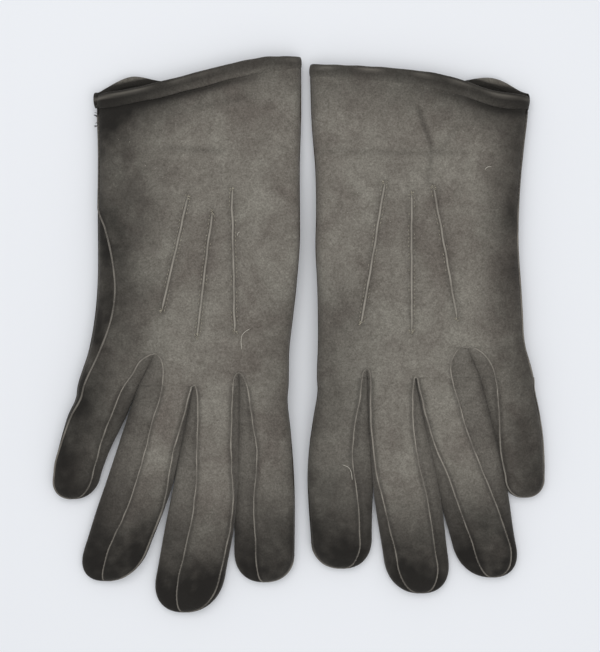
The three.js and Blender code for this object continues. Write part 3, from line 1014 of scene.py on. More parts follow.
points_of = {}
knots = {hand: [] for hand in HANDS}
pick = np.random.default_rng(3)
for hand, glove in gloves.items():
    for name in ("index", "middle", "ring"):
        node = f"{hand}_{name}_point"
        low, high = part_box(node)
        lean = edges(hand, f"{name}_point", low.y + 1 * MM), edges(hand, f"{name}_point", high.y - 1 * MM)
        bottom, top = (sum(pair) / 2 for pair in lean)
        count = 50
        line = []
        for i in range(count + 1):
            y = lerp(high.y, low.y, i / count)
            stray = 0.35 * MM * noise.noise(Vector((y / (8 * MM), top * 90, 3)))
            line.append(on_back(glove, lerp(top, bottom, i / count) + stray, y, 0.1 * MM))
        glove.points.append((Vector((top, high.y)), Vector((bottom, low.y))))
        points_of[node] = ridge(node + "_tuck", line, POINT_RADIUS, (True, True), 2.5 * MM, 4)
        for way in (-1, 1):
            for place, along in walk(line, POINT_PITCH, 1.0):
                across = along.cross(UP).normalized() * PRICK * way
                out = glove.side * (place.x + across.x)
                if noise.noise(place / (6 * MM) + Vector((0, 0, way))) > -0.05:
                    knots[hand].append((on_back(glove, out, place.y + across.y, 0.04 * MM), along))
        for end in (line[0], line[-1]):
            for turn in pick.uniform(0, 2 * math.pi, 9):
                ray = Vector((math.cos(turn), math.sin(turn), 0))
                knots[hand].append((end + ray * pick.uniform(0.3, 1.3) * MM + UP * 0.12 * MM, ray))
print(len(points_of), "points")

# %% [markdown]
# ## Cuff hems
#
# At the cuff the leather is turned over on itself and stitched down, which makes a firm, rounded
# band. Its section is a flattened round, and it runs round the mouth: along the back, round the side
# seam, along the palm, where it hangs out a little past the back, and round the fold.

# %% Turn the hems
HEM_THICKNESS = 1.9 * MM
HEM_SINK = 0.62 * MM  # the hem's middle lies this far under the leather's surface
HEM_SECTION = 20
HEM_STEPS = 64


def mouth_loop(glove):
    """(place, hem's width) round the mouth of the cuff: outwards on the back, and back on the palm."""
    loop = []
    for kind, cuff, full_width, order in (("back", glove.cuff_back, HEM_WIDTH, 1),
                                          ("palm", glove.cuff_palm, PALM_HEM_WIDTH, -1)):
        place = back_place if kind == "back" else palm_place
        row = []
        for i in range(HEM_STEPS):
            t = (1 - math.cos(math.pi * (i + 0.5) / HEM_STEPS)) / 2
            inside = smooth(min(t, 1 - t) / 0.10)
            width = lerp((HEM_WIDTH + PALM_HEM_WIDTH) / 2, full_width, inside)
            y = glove.drape_from
            for _ in range(3):
                out = lerp(glove.near(y), glove.far(y), t)
                y = cuff(out) - width / 2
            strip = strip_at(glove, out, y)
            row.append((place(glove, strip, out, y), width))
        loop += row[::order]
    return loop


def turn_hem(glove):
    """The rolled hem: a round section swept round the mouth."""
    loop = mouth_loop(glove)
    count = len(loop)

    def at(column, row):
        here, width = loop[row % count]
        before, after = loop[row - 1][0], loop[(row + 1) % count][0]
        along = Vector((after.x - before.x, 0, after.z - before.z)).normalized()
        outward = Vector((along.z, 0, -along.x)) * -glove.side
        angle = 2 * math.pi * column / HEM_SECTION
        uneven = 1 + 0.16 * noise.noise(here / (9 * MM))
        wide = math.cos(angle) * width / 2 * uneven
        deep = math.sin(angle) * HEM_THICKNESS / 2 * uneven
        return here + Vector((0, wide, 0)) + outward * (deep - HEM_SINK)

    return join(f"{glove.hand}_hem", [lay_grid("hem", HEM_SECTION, count, at)])


hems = {}
for hand, glove in gloves.items():
    hems[hand] = turn_hem(glove)
    select_only(hems[hand])
    bpy.ops.object.shade_smooth()
    row = []
    for i in range(61):
        y = glove.drape_from
        for _ in range(3):
            out = lerp(glove.near(y) + 3 * MM, glove.far(y) - 3 * MM, i / 60)
            y = glove.cuff_back(out) - HEM_WIDTH - 0.6 * MM
        row.append(on_back(glove, out, y, -0.08 * MM))
    hand_threads[hand] += walk(row, 2.6 * MM)
    print(hand, "hem", len(hems[hand].data.polygons), "faces")

# %% [markdown]
# ## Thumbs
#
# The thumb is cut from a piece of its own, folded and sewn along one side, and set into an oval hole
# in the palm. It lies flattened under the palm, so it is lofted as a flat tube: it starts at the
# hole, sinks to the table and ends in a round tip. Its seam runs down one side and round the tip.

# %% Loft the thumbs
THUMB_DEPTH = 3.8 * MM
THUMB_LEATHER = 0.7 * MM
THUMB_SEAM_RADIUS = 0.42 * MM
THUMB_ROWS = 44
THUMB_TIP_ROWS = 12
THUMB_COLUMNS = 24


def loft_thumb(glove):
    """The thumb's leather, its seam's ridge, and the stitches' places."""
    hand = glove.hand
    low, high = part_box(f"{hand}_thumb_lower_panel")
    base_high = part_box(f"{hand}_thumb_base")[1]
    levels = [lerp(high.y - 2 * MM, low.y + 14 * MM, t) for t in (0, 0.4, 0.8, 1)]
    found = [(y, edges(hand, "thumb_lower_panel", y)) for y in levels]
    sides = [curve_through([(y, pair[k]) for y, pair in found]) for k in (0, 1)]
    turn = low.y + 0.5 * (found[-1][1][1] - found[-1][1][0])
    table = low.z

    def section(y):
        """(middle, half width, thickness, height of the underside) at the level y."""
        level = max(y, turn)
        near, far = (side(min(level, high.y)) for side in sides)
        middle, half = (near + far) / 2, (far - near) / 2
        end = math.sqrt(max(1 - ((turn - y) / (turn - low.y)) ** 2, 0)) if y < turn else 1
        rise = smooth((y - high.y) / (base_high.y - high.y))
        half = lerp(half, 9 * MM, rise) * end
        depth = lerp(THUMB_DEPTH * end**0.7, 1.2 * MM, rise)
        floor = lerp(table + (THUMB_DEPTH - THUMB_DEPTH * end**0.7) * 0.3, base_high.z - 0.6 * MM, rise)
        return middle, half, depth, floor

    straight = THUMB_ROWS - THUMB_TIP_ROWS
    levels = [lerp(base_high.y, turn, i / straight) for i in range(straight + 1)]
    levels += [turn - (turn - low.y) * math.sin(math.pi / 2 * i / THUMB_TIP_ROWS)
               for i in range(1, THUMB_TIP_ROWS + 1)]

    def at(column, row):
        middle, half, depth, floor = section(levels[row])
        angle = 2 * math.pi * column / THUMB_COLUMNS
        c, s = math.cos(angle), math.sin(angle)
        out = middle + half * math.copysign(abs(c) ** 0.9, c)
        z = floor + depth * (0.5 + 0.5 * math.copysign(abs(s) ** 0.75, s))
        sag = 0.12 * MM * noise.noise(Vector((out, levels[row], 1)) / (6 * MM))
        return Vector((glove.side * out, levels[row], max(z + sag, table)))

    tube = join(f"{hand}_thumb_leather", [lay_grid("thumb", THUMB_COLUMNS, len(levels) - 1, at)])
    seam = [at(0, row) for row in range(len(levels) - 1)]
    seam += [at(THUMB_COLUMNS // 2, row) for row in range(len(levels) - 1, straight - 1, -1)]
    raised = ridge(f"{hand}_thumb_seam", seam, THUMB_SEAM_RADIUS)
    return thicken(tube, THUMB_LEATHER), raised, overcast(seam, lift=0.3 * MM)


thumbs = {}
for hand, glove in gloves.items():
    tube, seam, stitched = loft_thumb(glove)
    thumbs[hand] = (tube, seam, stitches(f"{hand}_thumb_stitches", stitched))
    print(hand, "thumb", len(tube.data.polygons), "faces")

# %% [markdown]
# ## Lint and loose thread
#
# Napped leather holds on to things: pale specks, a few short threads lying on it, and two little
# tufts where the side seam's dark thread was cut off near the cuff. The specks are copies of one
# stretched sphere, and each thread is a short curve with a round section.

# %% Scatter the lint
SPECKS = 34
CLUSTERS = {"right": (0.067, 0.086), "left": (0.035, 0.055)}  # (out, y) where more specks lie
# The two ends of each thread as (out, y). The left glove's first one lies on its index finger.
STRAYS = {
    "right": [((0.0228, 0.0030), (0.0276, -0.0068)), ((0.0275, 0.0490), (0.0292, 0.0468))],
    "left": [((0.0208, -0.0620), (0.0261, -0.0692)), ((0.0890, 0.0785), (0.0924, 0.0805))],
}
TUFTS = [0.1055, 0.1005]  # y of each, on the right-hand glove's side seam


def scatter_specks(glove):
    """Short fibres all over the back, and more of them in one cluster."""
    pick = np.random.default_rng(7 if glove.side > 0 else 19)
    places = []
    while len(places) < SPECKS:
        y = pick.uniform(-0.02, 0.11)
        out = lerp(glove.near(y), glove.far(y), pick.uniform(0.08, 0.92))
        if pick.uniform() < 0.55:
            out, y = Vector(CLUSTERS[glove.hand]) + Vector(pick.normal(0, 1, 2).tolist()) * 9 * MM
        turn = pick.uniform(0, math.pi)
        along = Vector((math.cos(turn), math.sin(turn), 0))
        places.append((on_back(glove, out, y, 0.05 * MM), along, pick.uniform(0.12, 0.55)))
    return stitch_copies("specks", places)


def stray_thread(glove, ends):
    """A short thread that lies on the leather in a shallow bow."""
    a, b = Vector(ends[0]), Vector(ends[1])
    bow = (b - a).orthogonal() * 0.16
    line = []
    for t in np.linspace(0, 1, 15).tolist():
        out, y = a.lerp(b, t) + bow * math.sin(math.pi * t) + bow * 0.3 * math.sin(5 * t)
        finger = next((f for f in FINGERS if strip_edges(glove, f, "back", y)[0] <= out
                       <= strip_edges(glove, f, "back", y)[1]), "index")
        line.append(back_place(glove, finger, out, y, 0.16 * MM))
    return ridge("stray", line, 0.13 * MM, (True, True), 1 * MM)


def tuft(glove, y):
    """A few cut ends of thread that stand out from the side seam."""
    pick = np.random.default_rng(int(y * 1e5))
    root = side_seam_points(glove, [y])[0]
    strands = []
    for _ in range(7):
        reach = glove.side * pick.uniform(0.9, 1.9), pick.uniform(-1.3, 1.3), pick.uniform(-0.6, 0.9)
        curl = Vector(pick.normal(0, 0.5, 3).tolist()) * MM
        line = [root + Vector(reach) * MM * t + curl * math.sin(math.pi * t) for t in np.linspace(0, 1, 8)]
        strands.append(ridge("strand", line, 0.14 * MM, (False, True), 1 * MM))
    return strands


loose = {}
for hand, glove in gloves.items():
    strays = [stray_thread(glove, ends) for ends in STRAYS[hand]]
    if hand == "left":
        loose["left_index_stray_thread"] = strays.pop(0)
        loose["left_index_stray_thread"].name = "left_index_stray_thread"
    loose[f"{hand}_lint"] = join(f"{hand}_lint", [scatter_specks(glove)] + strays, KEEP_APART)
for hand in HANDS:
    loose[f"{hand}_point_knots"] = stitches(f"{hand}_point_knots", knots[hand])
strands = [strand for y in TUFTS for strand in tuft(gloves["right"], y)]
loose["right_thread_tufts"] = join("right_thread_tufts", strands, KEEP_APART)
print("loose pieces:", ", ".join(loose))

# %% [markdown]
# ## Gathering
#
# The ridges that stay on the hand become one mesh for each glove, and so do their stitches. They all
# ride the same body, and fewer pieces are easier to keep track of.

# %% Gather the hand's seams and stitches
for hand in HANDS:
    hand_seams[hand] = join(f"{hand}_hand_seams", hand_seams[hand], KEEP_APART)
    hand_threads[hand] = stitches(f"{hand}_hand_stitches", hand_threads[hand])

# %% [markdown]
# ## Suede
#
# Suede is the napped inner side of the skin: very matt, with short fibres that lie in patches and so
# look lighter or darker by their direction. Broad soft clouds, patches of stroked nap and a fine
# The fingertips are darker, painted shade darkens the cuff, the outline, the creases, grooves and
# folds, rubbing makes the raised edges pale, and a painted highlight lies along the hem's fold. The
# darkening and the pale marks are painted on the points as two attributes.

# %% Make the suede
# The dark colour mixed in for painted shade and for the darker fingertips, and the pale colour for rubbed
# crests and for the painted highlight along the hem's fold.
SHADE_AND_TIP_DARK = (0.0135, 0.0120, 0.0105)
WORN_AND_HIGHLIGHT = (0.34, 0.31, 0.265)


def suede(name, light, dark, bump=0.6):
    """Napped leather whose colour clouds between light and dark."""
    material = bpy.data.materials.new(name)
    material.use_nodes = True
    nodes, links = material.node_tree.nodes, material.node_tree.links
    shader = nodes["Principled BSDF"]
    shader.inputs["Roughness"].default_value = 0.95
    shader.inputs["Specular IOR Level"].default_value = 0.15
    shader.inputs["Sheen Weight"].default_value = 0.22
    shader.inputs["Sheen Roughness"].default_value = 0.45
    shader.inputs["Sheen Tint"].default_value = (0.72, 0.68, 0.62, 1)
    place = nodes.new("ShaderNodeTexCoord").outputs["Object"]

    def clouds(scale, detail, roughness=0.55, distortion=0.0):
        node = nodes.new("ShaderNodeTexNoise")
        node.inputs["Scale"].default_value = scale
        node.inputs["Detail"].default_value = detail
        node.inputs["Roughness"].default_value = roughness
        node.inputs["Distortion"].default_value = distortion
        links.new(place, node.inputs["Vector"])
        return node.outputs["Fac"]

    def mix(kind, factor, a, b):
        node = nodes.new("ShaderNodeMix")
        node.data_type = "RGBA"
        node.blend_type = kind
        for socket, sort, value in (("Factor", "VALUE", factor), ("A", "RGBA", a), ("B", "RGBA", b)):
            target = next(i for i in node.inputs if (i.name, i.type) == (socket, sort))
            if isinstance(value, bpy.types.NodeSocket):
                links.new(value, target)
            else:
                target.default_value = (*value, 1) if isinstance(value, tuple) else value
        return next(o for o in node.outputs if o.type == "RGBA")

    def stretch(value, low, high, to_low=0.0, to_high=1.0):
        node = nodes.new("ShaderNodeMapRange")
        sockets = ("From Min", "From Max", "To Min", "To Max")
        for socket, number in zip(sockets, (low, high, to_low, to_high)):
            node.inputs[socket].default_value = number
        links.new(value, node.inputs["Value"])
        return node.outputs["Result"]

    def painted(attribute):
        node = nodes.new("ShaderNodeAttribute")
        node.attribute_name = attribute
        return node.outputs["Fac"]

    broad = stretch(clouds(42, 4, 0.62, 0.5), 0.34, 0.66)
    stroked = stretch(clouds(260, 5, 0.7, 1.4), 0.32, 0.68)
    grain = stretch(clouds(1150, 4, 0.8), 0.34, 0.66)
    colour = mix("MIX", broad, dark, light)
    colour = mix("MULTIPLY", stretch(stroked, 0, 1, 0.46, 0.0), colour, (0.35, 0.33, 0.31))
    colour = mix("MULTIPLY", stretch(grain, 0, 1, 0.64, 0.0), colour, (0.28, 0.27, 0.25))
    # painted shade, and the darker fingertips
    colour = mix("MIX", painted("soil"), colour, SHADE_AND_TIP_DARK)
    # pale rubbed crests, and the painted highlight along the hem's fold
    colour = mix("MIX", painted("wear"), colour, WORN_AND_HIGHLIGHT)
    links.new(colour, shader.inputs["Base Color"])

    raised = nodes.new("ShaderNodeMath")
    raised.operation = "MULTIPLY_ADD"
    raised.inputs[1].default_value = 0.45
    links.new(grain, raised.inputs[0])
    links.new(stroked, raised.inputs[2])
    height = nodes.new("ShaderNodeBump")
    height.inputs["Strength"].default_value = bump
    height.inputs["Distance"].default_value = 0.25 * MM
    links.new(raised.outputs["Value"], height.inputs["Height"])
    links.new(height.outputs["Normal"], shader.inputs["Normal"])
    return material


SUEDE_BACK = suede("suede_back", (0.330, 0.309, 0.265), (0.214, 0.189, 0.163))
# A darker copy of the suede for the fourchettes and webs: painted shade on the sides between the fingers.
SUEDE_SIDE_SHADED = suede("suede_side", (0.240, 0.222, 0.192), (0.165, 0.149, 0.129))
SUEDE_INSIDE = suede("suede_inside", (0.115, 0.088, 0.062), (0.075, 0.058, 0.042))
SUEDE_HEM = suede("suede_hem", (0.315, 0.295, 0.253), (0.208, 0.184, 0.159))
SEAM_EDGE = suede("seam_edge", (0.185, 0.169, 0.148), (0.125, 0.114, 0.099), bump=0.8)


def thread(name, light, dark):
    """Twisted cotton: short light and dark turns along the strand."""
    material = bpy.data.materials.new(name)
    material.use_nodes = True
    nodes, links = material.node_tree.nodes, material.node_tree.links
    shader = nodes["Principled BSDF"]
    shader.inputs["Roughness"].default_value = 0.8
    shader.inputs["Sheen Weight"].default_value = 0.2
    place = nodes.new("ShaderNodeTexCoord")
    turns = nodes.new("ShaderNodeTexNoise")
    turns.inputs["Scale"].default_value = 2200
    ramp = nodes.new("ShaderNodeValToRGB")
    ramp.color_ramp.elements[0].position, ramp.color_ramp.elements[1].position = 0.35, 0.65
    ramp.color_ramp.elements[0].color, ramp.color_ramp.elements[1].color = (*dark, 1), (*light, 1)
    links.new(place.outputs["Object"], turns.inputs["Vector"])
    links.new(turns.outputs["Fac"], ramp.inputs["Fac"])
    links.new(ramp.outputs["Color"], shader.inputs["Base Color"])
    return material


THREAD = thread("thread", (0.27, 0.24, 0.20), (0.12, 0.105, 0.088))
KNOT = thread("knot", (0.46, 0.42, 0.32), (0.24, 0.21, 0.16))
LINT = thread("lint", (0.62, 0.58, 0.50), (0.40, 0.37, 0.31))
TUFT = thread("tuft", (0.03, 0.03, 0.03), (0.012, 0.012, 0.012))

# %% [markdown]
# ## Painted shade, dark tips and wear
#
# Each point gets a darkening value from where it lies: darker towards the fingertips, and painted
# shade along the rolled outline, at the outer end of the cuff and in the creases, grooves and folds.
# The wear of a ridge comes and goes along its length, and the hem's fold gets a painted highlight.

# %% Paint shade, dark tips, wear and highlight
def paint(obj, name, value):
    store = obj.data.attributes.new(name, "FLOAT", "POINT")
    store.data.foreach_set("value", [value(v) for v in obj.data.vertices])


# Painted shade along the outline, at the cuff and inside it, and in the grooves, creases and folds. The
# fingertips are darker as well.
FAR_SHADE = {"right": (0.80, 46 * MM), "left": (0.68, 26 * MM)}  # how much, and how far in it reaches
NEAR_SHADE = {"right": (0.26, 24 * MM), "left": (0.42, 40 * MM)}
TIP_DARKENING = {
    "right": {"index": 0.88, "middle": 1.08, "ring": 0.97, "little": 0.42},
    "left": {"index": 0.86, "middle": 1.0, "ring": 1.08, "little": 0.46},
}
TIP_REACH = 60 * MM
PALM_TIP_SHARE = 0.72  # on its palm side, a fingertip has this share of the darkening
GROOVE_SHADE = 0.85
INSIDE_SHADE = 0.9
OUTLINE_SHADE = 0.2
PALM_EDGE_SHADE = 0.16
SEAM_SHADE = 0.34
CREASE_SHADE = 0.42
POINT_SHADE = 0.3
FORK_SHADE = 0.85
SEAM_DARKENING_SHARE = 0.7  # a raised seam takes this share of the painted shade and darkening around it
MOST_DARKENING = 0.975


def together(*shares):
    """Several coats of darkening, painted shade and darker tips, one over another."""
    clean = 1.0
    for share in shares:
        clean *= 1 - min(max(share, 0), 1)
    return 1 - clean


def hand_shade(glove, out, y):
    """Painted shade along the little finger's side, at the cuff, beyond the right glove's side seam and,
    less, along the index finger's side.
    """
    from_far, from_near = glove.far(y) - out, out - glove.near(y)
    amount, reach = FAR_SHADE[glove.hand]
    far_side = amount * fade(from_far, reach)
    amount, reach = NEAR_SHADE[glove.hand]
    near_side = amount * fade(from_near, reach) * smooth((0.04 - y) / 0.04)
    below_cuff = glove.cuff_back(out) - y
    cuff = lerp(0.34, 0.68, smooth((out - 30 * MM) / (45 * MM)))
    cuff *= fade(below_cuff - 4 * MM, 26 * MM)
    beyond_seam = 0
    if glove.hand == "right" and y < 0.07:
        seam = glove.far(y) - SIDE_SEAM_IN["right"](y)
        beyond_seam = 0.68 * smooth((out - seam + 1.5 * MM) / (3 * MM)) * smooth((0.07 - y) / 0.02)
    return together(far_side, near_side, cuff if y > 0.07 else 0, beyond_seam)


def upper_share(glove, finger, co):
    """1 on the back's leather, and 0 on the palm's."""
    out = glove.side * co.x
    if finger == "hand":
        return 1.0 if co.z > underside(glove, out, co.y) + DEPTH / 2 else 0.0
    base, depth, _ = heights(glove, finger, "back", out, co.y)
    return smooth(((co.z - base) / max(depth, 1 * MM) - 0.3) / 0.3)


def cuff_coats(glove, co, upper):
    """Painted shade in the hem's groove, and on the inside of the palm, which shows beyond the back."""
    out = glove.side * co.x
    below = glove.cuff_back(out) - HEM_WIDTH - co.y
    groove = GROOVE_SHADE * bell(below - 0.8 * MM, 2.9 * MM) * upper
    groove *= smooth((out - GROOVE_START[glove.hand]) / GROOVE_GROW)
    return [groove, INSIDE_SHADE if co.y > glove.cuff_back(out) - 2 * MM else 0]


def finger_coats(glove, finger, co, upper, cloudy):
    """Darkening at a finger's tip, and painted shade along its palm's edges and in the grooves beside its
    back's seams.
    """
    out = glove.side * co.x
    tip = fade(co.y - glove.fingers[finger]["tip"] - 2 * MM, TIP_REACH) ** 0.85
    coats = [TIP_DARKENING[glove.hand][finger] * tip * cloudy * lerp(PALM_TIP_SHARE, 1, upper)]
    level = round(min(co.y, glove.start), 4)
    near, far = strip_edges(glove, finger, "palm", level)
    edge = min(abs(out - near), abs(far - out))
    coats.append(PALM_EDGE_SHADE * fade(edge, 5 * MM) * cloudy * smooth((glove.start - co.y) / (10 * MM)))
    near, far = strip_edges(glove, finger, "back", level)
    for seam, sewn in ((near, finger != "index"), (far, finger != "little")):
        if sewn:
            coats.append(SEAM_SHADE * upper * bell(abs(out - seam) - 1.0 * MM, 0.8 * MM))
    return coats


def fold_coats(glove, co):
    """Painted shade in the hand's creases, and beside its points."""
    place = Vector((glove.side * co.x, co.y))
    coats = [-CREASE_SHADE * crease(place.x, place.y, *fold) / (0.8 * MM) for fold in CREASES[glove.hand]]
    for a, b in glove.points:
        share = (place - a).dot(b - a) / (b - a).length_squared
        nearest = a + (b - a) * min(max(share, 0), 1)
        coats.append(POINT_SHADE * bell((place - nearest).length, 2.2 * MM))
    return coats


def soil(glove, finger, co):
    """All the painted shade, and the darker tips, at a place on a finger's leather, or on the hand's."""
    out = glove.side * co.x
    cloudy = 1 + 0.35 * noise.noise(co / (15 * MM)) + 0.18 * noise.noise(co / (4 * MM))
    upper = upper_share(glove, finger, co)
    coats = [hand_shade(glove, out, co.y) * cloudy]
    if co.y > CUFF_FROM:
        coats += cuff_coats(glove, co, upper)
    from_outline = min(out - glove.near(co.y), glove.far(co.y) - out)
    coats.append(OUTLINE_SHADE * fade(from_outline + 1 * MM, 6 * MM) * cloudy)
    if finger != "hand":
        coats += finger_coats(glove, finger, co, upper, cloudy)
    elif upper:
        coats += fold_coats(glove, co)
    return min(together(*coats), MOST_DARKENING)


def fork_shade(glove, finger, edge, co):
    """Painted shade in the fold where two fourchettes lie against each other."""
    y = round(co.y, 4)
    top = back_place(glove, finger, strip_edges(glove, finger, "back", y)[edge], y).z
    deep = smooth((top - co.z - 0.5 * MM) / (5.5 * MM))
    return FORK_SHADE * deep * smooth((co.y - glove.start + 0.045) / 0.025)


def web_shade(glove, number, co):
    """The same on a web, from whichever of its two fingers is nearer."""
    out, y = glove.side * co.x, round(co.y, 4)
    sides = [(FINGERS[number], 1), (FINGERS[number + 1], 0)]
    finger, edge = min(sides, key=lambda side: abs(strip_edges(glove, side[0], "back", y)[side[1]] - out))
    return fork_shade(glove, finger, edge, co)


def hem_shade(glove, v):
    """Painted shade on the hem: along its folded edges, and in the gap between the back's and the palm's."""
    out = glove.side * v.co.x
    # painted shade where the hem rolls under, by its normal
    rolled_under = 0.45 * fade(abs(v.normal.z) - 0.1, 0.6)
    below_cuff = glove.cuff_back(out) - v.co.y
    along = together(hand_shade(glove, out, v.co.y), 0.55 * fade(below_cuff - 3 * MM, 5 * MM))
    if below_cuff < 0:  # the palm's hem, where it shows beyond the back's: painted shade down in the gap
        along = lerp(0.93, 0.25, smooth((-below_cuff - 3.2 * MM) / (1.4 * MM)))
    if v.normal.z < -0.2:
        along = 0.3  # painted shade underneath
    return together(along, rolled_under, 0.25 * noise.noise(v.co / (5 * MM)))


def hem_highlight(glove, v):
    """A painted highlight along the fold, just inside the cuff's edge."""
    below = glove.cuff_back(glove.side * v.co.x) - v.co.y
    line = bell(below - 1.9 * MM, 0.7 * MM) * smooth(v.normal.z / 0.5)
    return 0.34 * line * min(max(0.4 + 1.3 * noise.noise(v.co / (12 * MM)), 0), 1)


def crest_wear(strength, darkened=None):
    """Wear on the crest of a ridge, coming and going along it, and less where it is darker."""
    def value(v):
        crest = smooth((abs(v.normal.z) - 0.35) / 0.45)
        rubbed = min(max(0.78 + 0.8 * noise.noise(v.co / (7 * MM)), 0.42), 1)
        clean = 1 - 0.5 * darkened(v) if darkened else 1
        return strength * crest * rubbed * clean
    return value


# %% [markdown]
# ## Resting on the table
#
# The soft gloves press a few points of their hems against the table. Those points are moved up to
# its surface, as real leather would flatten there.

# %% Rest everything on the table
for obj in bpy.data.objects:
    if obj.type == "MESH" and obj not in frame["nodes"].values():
        sunk = [v for v in obj.data.vertices if v.co.z < cad_box[0].z]
        for v in sunk:
            v.co.z = cad_box[0].z
        if sunk:
            print(obj.name, len(sunk), "points pressed up to the table")

# %% [markdown]
# ## Materials and bodies
#
# Every piece gets its material and paint, and the frame's panels that it stands in for are hidden.
# The hand's pieces ride the glove. A finger's pieces have their placement baked into their points and
# ride no body.


def dress(obj, *materials):
    """Gives the piece these materials and no others."""
    obj.data.materials.clear()
    for material in materials:
        obj.data.materials.append(material)


def bend_with(obj, glove):
    """Bakes the piece's placement into its points."""
    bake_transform(obj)


for (hand, part), piece in leather.items():
    glove = gloves[hand]
    dress(piece, SUEDE_BACK, SUEDE_INSIDE)
    for face, item in zip(piece.data.polygons, piece.data.attributes["inside"].data):
        face.material_index = item.value
    # painted shade on the leather, and the darker fingertips
    paint(piece, "soil", lambda v: soil(glove, part, v.co))
    if part == "hand":
        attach(piece, f"{hand}_glove")
        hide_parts(f"{hand}_back_panel", f"{hand}_palm_panel", f"{hand}_trank_fold")
    else:
        bend_with(piece, glove)
        nodes = [f"{hand}_{part}_back_panel", f"{hand}_{part}_palm_panel"]
        if part == "index":
            nodes.append(f"{hand}_index_fold")
        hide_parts(*nodes)

# The frame's name for the strip on each edge of a finger.
NAMES = {("index", 1): "index_fourchette", ("little", 0): "little_fourchette",
         ("middle", 0): "middle_fourchette_near", ("middle", 1): "middle_fourchette_far",
         ("ring", 0): "ring_fourchette_near", ("ring", 1): "ring_fourchette_far"}
for (hand, finger, edge), piece in fourchettes.items():
    glove = gloves[hand]
    dress(piece, SUEDE_SIDE_SHADED)
    # painted shade, deeper in the folds between the fingers
    paint(piece, "soil", lambda v: together(soil(glove, finger, v.co),
                                            fork_shade(glove, finger, edge, v.co)))
    bend_with(piece, glove)
    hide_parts(f"{hand}_{NAMES[finger, edge]}")
for (hand, number), piece in webs.items():
    dress(piece, SUEDE_SIDE_SHADED)
    glove = gloves[hand]
    # painted shade, deeper in the fork
    paint(piece, "soil", lambda v: together(hand_shade(glove, glove.side * v.co.x, v.co.y),
                                            web_shade(glove, number, v.co)))
    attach(piece, f"{hand}_glove")
    node = f"{hand}_fork_{FINGERS[number]}_{FINGERS[number + 1]}"
    if node in frame["nodes"]:
        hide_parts(node)

for (hand, finger), piece in finger_seams.items():
    dress(piece, SEAM_EDGE)
    darkened = lambda v: soil(gloves[hand], finger, v.co)
    # wear on the crests, and a share of the painted shade and darker tips of the leather around
    paint(piece, "wear", crest_wear(1.0, darkened))
    paint(piece, "soil", lambda v: SEAM_DARKENING_SHARE * darkened(v))
    bend_with(piece, gloves[hand])
    if finger == "little":
        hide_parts(f"{hand}_little_side_seam")
    threads = finger_threads[hand, finger]
    dress(threads, THREAD)
    bend_with(threads, gloves[hand])

for hand, glove in gloves.items():
    body = f"{hand}_glove"
    dress(hand_seams[hand], SEAM_EDGE)
    # painted shade from the hand, with less wear on the crests where it is darker and near the cuff
    darkened = lambda v: hand_shade(glove, glove.side * v.co.x, v.co.y)
    worn = crest_wear(0.9, darkened)
    paint(hand_seams[hand], "wear", lambda v: worn(v) * lerp(1, 0.3, smooth((v.co.y - 0.055) / 0.012)))
    paint(hand_seams[hand], "soil", lambda v: SEAM_DARKENING_SHARE * darkened(v))
    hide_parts(f"{hand}_side_seam")
    dress(hems[hand], SUEDE_HEM)
    # painted shade on the hem, and a painted highlight along its fold
    paint(hems[hand], "soil", lambda v: hem_shade(glove, v))
    paint(hems[hand], "wear", lambda v: hem_highlight(glove, v))
    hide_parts(f"{hand}_cuff_hem_back", f"{hand}_cuff_hem_palm")
    dress(hand_threads[hand], THREAD)
    for piece, slot in ((hand_seams[hand], "seam_edge"), (hems[hand], "hem"),
                        (hand_threads[hand], "seam_edge")):
        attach(piece, body)
    tube, seam, threads = thumbs[hand]
    dress(tube, SUEDE_BACK)
    dress(seam, SEAM_EDGE)
    dress(threads, THREAD)
    paint(seam, "wear", crest_wear(0.6))
    for piece, slot in ((tube, "suede_palm"), (seam, "seam_edge"), (threads, "seam_edge")):
        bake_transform(piece)
    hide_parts(f"{hand}_thumb_upper_panel", f"{hand}_thumb_lower_panel", f"{hand}_thumb_base")
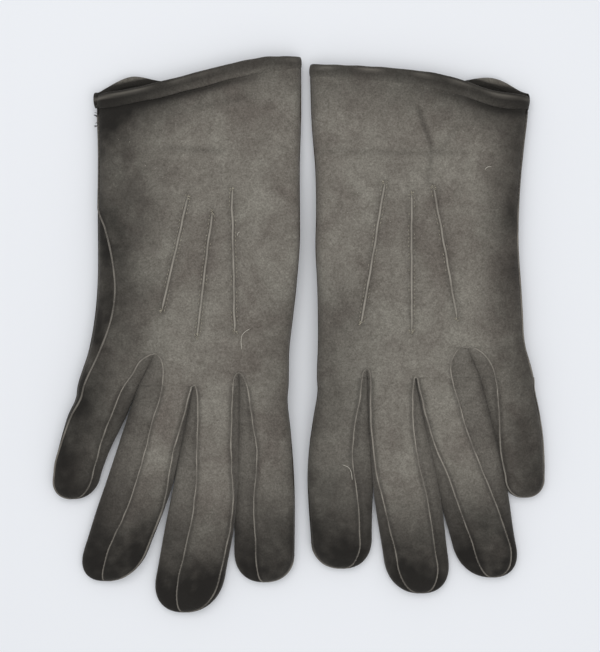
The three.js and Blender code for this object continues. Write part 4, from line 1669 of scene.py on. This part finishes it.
for node, piece in points_of.items():
    dress(piece, SUEDE_BACK)
    paint(piece, "wear", crest_wear(0.8))
    # painted shade on the tuck's flanks
    paint(piece, "soil", lambda v: 0.45 * fade(v.normal.z - 0.2, 0.5))
    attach(piece, node.split("_")[0] + "_glove")
    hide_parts(node)
for name, piece in loose.items():
    hand = name.split("_")[0]
    dress(piece, TUFT if "tufts" in name else KNOT if "knots" in name else LINT)
    if "index" in name:
        bend_with(piece, gloves[hand])
    else:
        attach(piece, f"{hand}_glove")

# %% [markdown]
# ## Table, light and camera
#
# The gloves lie on a plain pale table under one large soft light, which is a little stronger from
# the cuffs' side, and they are seen from straight above.

# %% Set the stage
deselect()
bpy.ops.mesh.primitive_plane_add(size=9, location=(0, 0, cad_box[0].z - 0.2 * MM))
table = bpy.context.object
table.name = "table"
paper = bpy.data.materials.new("table")
paper.use_nodes = True
surface = paper.node_tree.nodes["Principled BSDF"].inputs
surface["Base Color"].default_value = (0.86, 0.87, 0.89, 1)
surface["Roughness"].default_value = 0.9
surface["Specular IOR Level"].default_value = 0.1
table.data.materials.append(paper)
table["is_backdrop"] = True

world = bpy.data.worlds.new("soft_room")
world.use_nodes = True
sky = world.node_tree.nodes["Background"].inputs
sky["Color"].default_value = (0.95, 0.97, 1.0, 1)
sky["Strength"].default_value = 0.72
bpy.context.scene.world = world


def soft_light(name, place, size, power):
    """A square area light that faces the gloves."""
    lamp = bpy.data.lights.new(name, "AREA")
    lamp.size = size
    lamp.energy = power
    obj = add_object(name, lamp)
    obj.location = place
    obj.rotation_euler = (-Vector(place)).to_track_quat("-Z", "Y").to_euler()


soft_light("large_soft_light", (-0.15, 0.42, 0.85), 0.6, 1.9)
soft_light("fill_light", (0.25, -0.35, 0.95), 0.7, 1.7)

camera_data = bpy.data.cameras.new("camera")
camera_data.lens = 85
camera_data.sensor_width = 36
camera = add_object("camera", camera_data)
camera.location = (0.0007, 0.0042, 0.745)
bpy.context.scene.camera = camera
bpy.context.scene.view_settings.view_transform = "Standard"

# %% Print the sizes and finish
visual_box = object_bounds()
for name, box in (("cad", cad_box), ("visual", visual_box)):
    print(name, [round(v, 4) for v in (*box[0], *box[1])])
